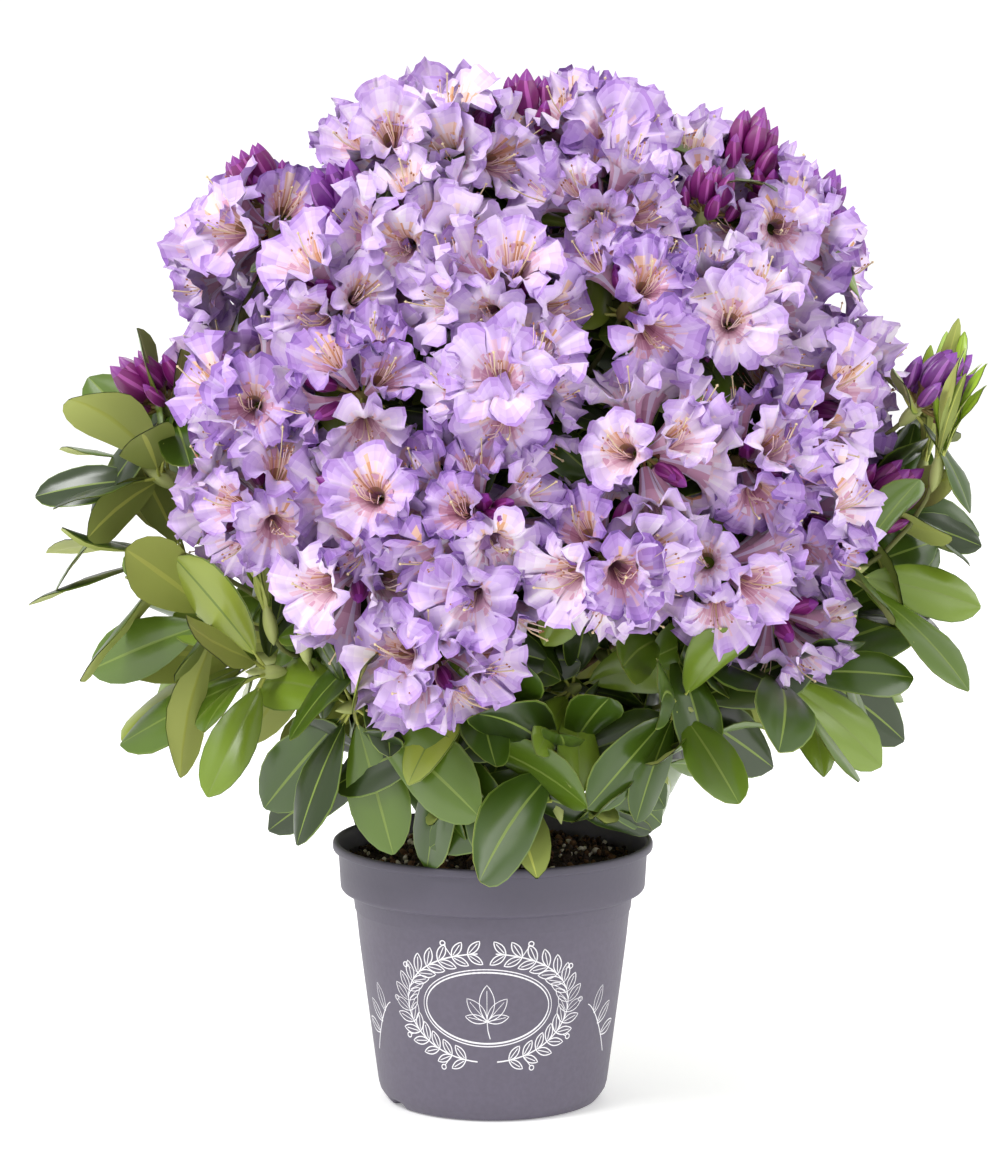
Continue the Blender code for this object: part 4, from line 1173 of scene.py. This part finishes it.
def make_pot(group):
    """The pot: its profile carried round, with the drain notches lifting its foot's edge."""
    profile = np.array([(radius + aside, height + up) for radius, height, steps in POT_PROFILE
                        for aside, up in steps])
    bearing = np.arange(POT_SIDES) * 360 / POT_SIDES
    angle = np.radians(bearing)
    radius = profile[:, :1]
    height = np.repeat(profile[:, 1:], POT_SIDES, axis=1)
    for notch in NOTCH_BEARINGS:
        away = np.radians((bearing - notch + 180) % 360 - 180) * BASE_RADIUS
        rise = NOTCH_RISE * np.clip(1 - (away / NOTCH_RADIUS) ** 2, 0, 1) ** 0.5
        foot = (profile[:, 1] < NOTCH_RISE) & (profile[:, 0] > NOTCH_FROM_RADIUS)
        height[foot] = np.maximum(height[foot], rise)
    net = Net()
    net.grids(np.stack([radius * np.sin(angle), -radius * np.cos(angle), height], -1)[None], 0, True)
    plastic = flecked("pot_plastic", group, (92, 86, 101), (97, 91, 107), 260, 0.52, 0.10)
    # Painted shade: the pot darkens from below its rim band up to the lip, for the shadow the crown casts
    # there
    paint_shade_by_height(plastic, BODY_TOP - 0.03, POT_HEIGHT - 0.008, (78, 74, 88))
    net.piece("pot_shell", [plastic], ["pot"])


def make_compost(group):
    """The compost's crumbly top: a disc whose height is a sum of waves, with loose crumbs on it."""
    share = axes(np.linspace(0.0, 1, COMPOST_RINGS), 1)
    turn = ring_angles(COMPOST_SIDES)
    reach = (BAND_FOOT_RADIUS - WALL - 0.0006) * share
    x = reach * np.sin(turn)
    y = -reach * np.cos(turn)
    lumps = np.sin(x * 430 + 2 * np.sin(y * 300)) * np.sin(y * 390 + 2 * np.sin(x * 270))
    fine = np.sin(x * 1500 + y * 700) * np.sin(y * 1300 - x * 900)
    height = COMPOST_TOP + (COMPOST_SHOULDER - COMPOST_TOP) * share**2 + 0.0016 * lumps + 0.0008 * fine
    height[-1] = COMPOST_SHOULDER - 0.006
    net = Net()
    net.grids(np.stack([x, y, height], -1)[None], 0, True)
    rng = np.random.default_rng(SEED + 3)
    radius = (BAND_FOOT_RADIUS - WALL - 0.004) * rng.random(CRUMBS) ** 0.5
    turn = rng.random(CRUMBS) * 2 * math.pi
    centre = np.stack([radius * np.cos(turn), radius * np.sin(turn),
                       COMPOST_TOP + 0.0002 + 0.0022 * rng.random(CRUMBS)], -1)
    aim = unit(rng.random((CRUMBS, 3)) - 0.5)
    size = 0.0008 + 0.0026 * rng.random(CRUMBS) ** 2
    kind = axes(rng.choice(3, CRUMBS, p=CRUMB_CHANCES), 2) + 1
    net.grids(spindles(centre, aim, 0.0019, 0.0019, size, 3, 5, 0.2, 0.5), kind, True)
    colours = [flecked("compost_earth", group, (20, 14, 10), (58, 42, 30), 420, 0.95, 1.0),
               plain("compost_peat", (48, 32, 22), 0.95), plain("compost_chip", (96, 66, 42), 0.9),
               plain("compost_grit", (206, 198, 184), 0.85)]
    net.piece("compost_top", colours, ["compost"])



def print_line(net, route, width):
    """One printed line: a ribbon on the pot's side along a route of (arc, height) points."""
    route = np.asarray(route, float)
    run = unit(np.gradient(route, axis=0))
    aside = np.stack([-run[:, 1], run[:, 0]], -1) * width / 2
    edges = np.stack([route - aside, route, route + aside], 1)
    height = edges[..., 1]
    angle = edges[..., 0] / PRINT_RADIUS
    radius = pot_radius(height) + PRINT_PROUD * np.array([0.4, 1.0, 0.4])
    net.grids(np.stack([radius * np.sin(angle), -radius * np.cos(angle), height], -1)[None], 0)


def turned_route(route, turn, place):
    """A route turned by an angle and moved."""
    c = math.cos(turn)
    s = math.sin(turn)
    route = np.asarray(route)
    return np.stack([route[:, 0] * c - route[:, 1] * s, route[:, 0] * s + route[:, 1] * c], -1) + place


def leaf_outline(length, width):
    """A pointed leaf's outline, from its root and back: half its width goes with sin(pi t)^0.8."""
    t = np.linspace(0, 1, 13)
    half = width / 2 * np.sin(math.pi * t) ** 0.8
    there = np.stack([t * length, half], -1)
    back = np.stack([t[::-1] * length, -half[::-1]], -1)
    return np.concatenate([there, back[1:]])


def print_leaf(net, root, turn, length, width, vein, vein_width):
    """A printed leaf with its midrib, which runs between two shares of the length."""
    print_line(net, turned_route(leaf_outline(length, width), turn, root), PRINT_FINE)
    midrib = np.stack([np.linspace(*vein, 5) * length, np.zeros(5)], -1)
    print_line(net, turned_route(midrib, turn, root), vein_width)


def oval(wide, tall, start=0, end=2 * math.pi, steps=90):
    """Points on an oval between two angles."""
    t = np.linspace(start, end, steps)
    return np.stack([wide * np.cos(t), tall * np.sin(t)], -1)


def make_print():
    """White line print: an oval garland of plain leaves and berries round an open field."""
    net = Net()
    middle = np.array(PRINT_MIDDLE)
    wide, tall = PRINT_SPAN
    for grown, width in ((0.0, 0.0013), (0.0022, PRINT_FINE)):
        print_line(net, oval(wide - 0.016 + grown, tall - 0.014 + grown) + middle, width)
    rng = np.random.default_rng(SEED + 4)
    for side in (-1, 1):
        print_line(net, oval(side * wide, tall, -1.45, 1.47, 44) + middle, PRINT_STEM)
        for k, place in enumerate(np.linspace(-1.30, 1.36, GARLAND_PAIRS)):
            root = np.array([side * wide * math.cos(place), tall * math.sin(place)]) + middle
            run = math.atan2(tall * math.cos(place), -side * wide * math.sin(place))
            for lean in (-0.75, 0.75):
                length = 0.0150 - 0.003 * abs(place) / 1.4 + 0.001 * rng.random()
                print_leaf(net, root, run + lean, length, length * 0.42, (0.12, 0.82), PRINT_FINE * 0.8)
            if k % 3 == 1:
                out = unit(root - middle) * 0.0115
                print_line(net, oval(0.0018, 0.0018, steps=13) + root + out, PRINT_FINE)
                print_line(net, np.stack([root, root + out * 0.82]), PRINT_FINE * 0.8)
    for side in (-1, 1):
        for step, turn in ((0, 1.2), (1, 0.75), (2, 0.35)):
            root = middle + np.array([side * (0.089 + 0.006 * step), -0.012 - 0.009 * step])
            aim = turn if side > 0 else math.pi - turn
            print_leaf(net, root, aim, 0.021, 0.0080, (0.1, 0.85), PRINT_FINE)
        t = np.linspace(0, 1, 16)
        stalk = np.stack([side * (0.081 + 0.028 * t), -0.004 - 0.040 * t**1.4], -1) + middle
        print_line(net, stalk, PRINT_STEM)
    for lean, length in ((0, 0.027), (-0.7, 0.022), (0.7, 0.022), (-1.35, 0.016), (1.35, 0.016)):
        root = middle - np.array([0.0, 0.010])
        print_leaf(net, root, math.pi / 2 + lean, length, length * 0.40, (0.1, 0.85), PRINT_FINE * 0.8)
    print_line(net, np.array([[0.0, -0.010], [0.0006, -0.017], [0.0022, -0.023]]) + middle, 0.0007)
    net.piece("pot_print", [plain("print_white", (236, 234, 238), 0.5)])


# Studio

def make_studio():
    """A white floor that glows a little, a white world, three broad lights and the camera."""
    scene = bpy.context.scene
    mesh = bpy.data.meshes.new("floor")
    corners = [(x * FLOOR_HALF, y * FLOOR_HALF, -0.0004) for x, y in ((-1, -1), (1, -1), (1, 1), (-1, 1))]
    mesh.from_pydata(corners, [], [(0, 1, 2, 3)])
    paper = plain("floor_white", (252, 252, 252), 0.9)
    shader = paper.node_tree.nodes["Principled BSDF"]
    shader.inputs["Emission Color"].default_value = (1, 1, 1, 1)
    shader.inputs["Emission Strength"].default_value = FLOOR_GLOW
    mesh.materials.append(paper)
    stand("floor", mesh)
    scene.world = bpy.data.worlds.new("studio")
    scene.world.use_nodes = True
    background = scene.world.node_tree.nodes["Background"]
    background.inputs["Color"].default_value = (1, 1, 1, 1)
    background.inputs["Strength"].default_value = WORLD_STRENGTH
    for name, place, power, size in LAMPS:
        light = bpy.data.lights.new(name, "AREA")
        light.energy = power
        light.size = size
        lamp = stand(name, light)
        lamp.location = place
        aim = HEART - np.array(place)
        lamp.rotation_euler = (
            math.atan2(math.hypot(aim[0], aim[1]), -aim[2]), 0.0, math.atan2(-aim[0], aim[1]))
    camera = bpy.data.cameras.new("camera")
    camera.lens = CAMERA_LENS
    camera.sensor_width = 36.0
    camera.sensor_fit = "HORIZONTAL"
    view = stand("camera", camera)
    view.location = CAMERA_PLACE
    view.rotation_euler = (math.pi / 2 - CAMERA_PITCH, 0.0, 0.0)
    scene.camera = view
    scene.view_settings.view_transform = "Standard"


def build():
    """The whole plant, its pot, and the studio."""
    masses, shoots, boughs, twigs = grow_shoots()
    fleck = grain_group()
    make_pot(fleck)
    make_print()
    make_compost(fleck)
    make_bark(boughs, masses, fleck)
    make_twigs(twigs, shoots)
    blooms = make_blossom(shoots)
    make_stalks(blooms, shoots)
    make_buds(shoots, blooms)
    make_leaves(shoots, masses)
    make_studio()


build()
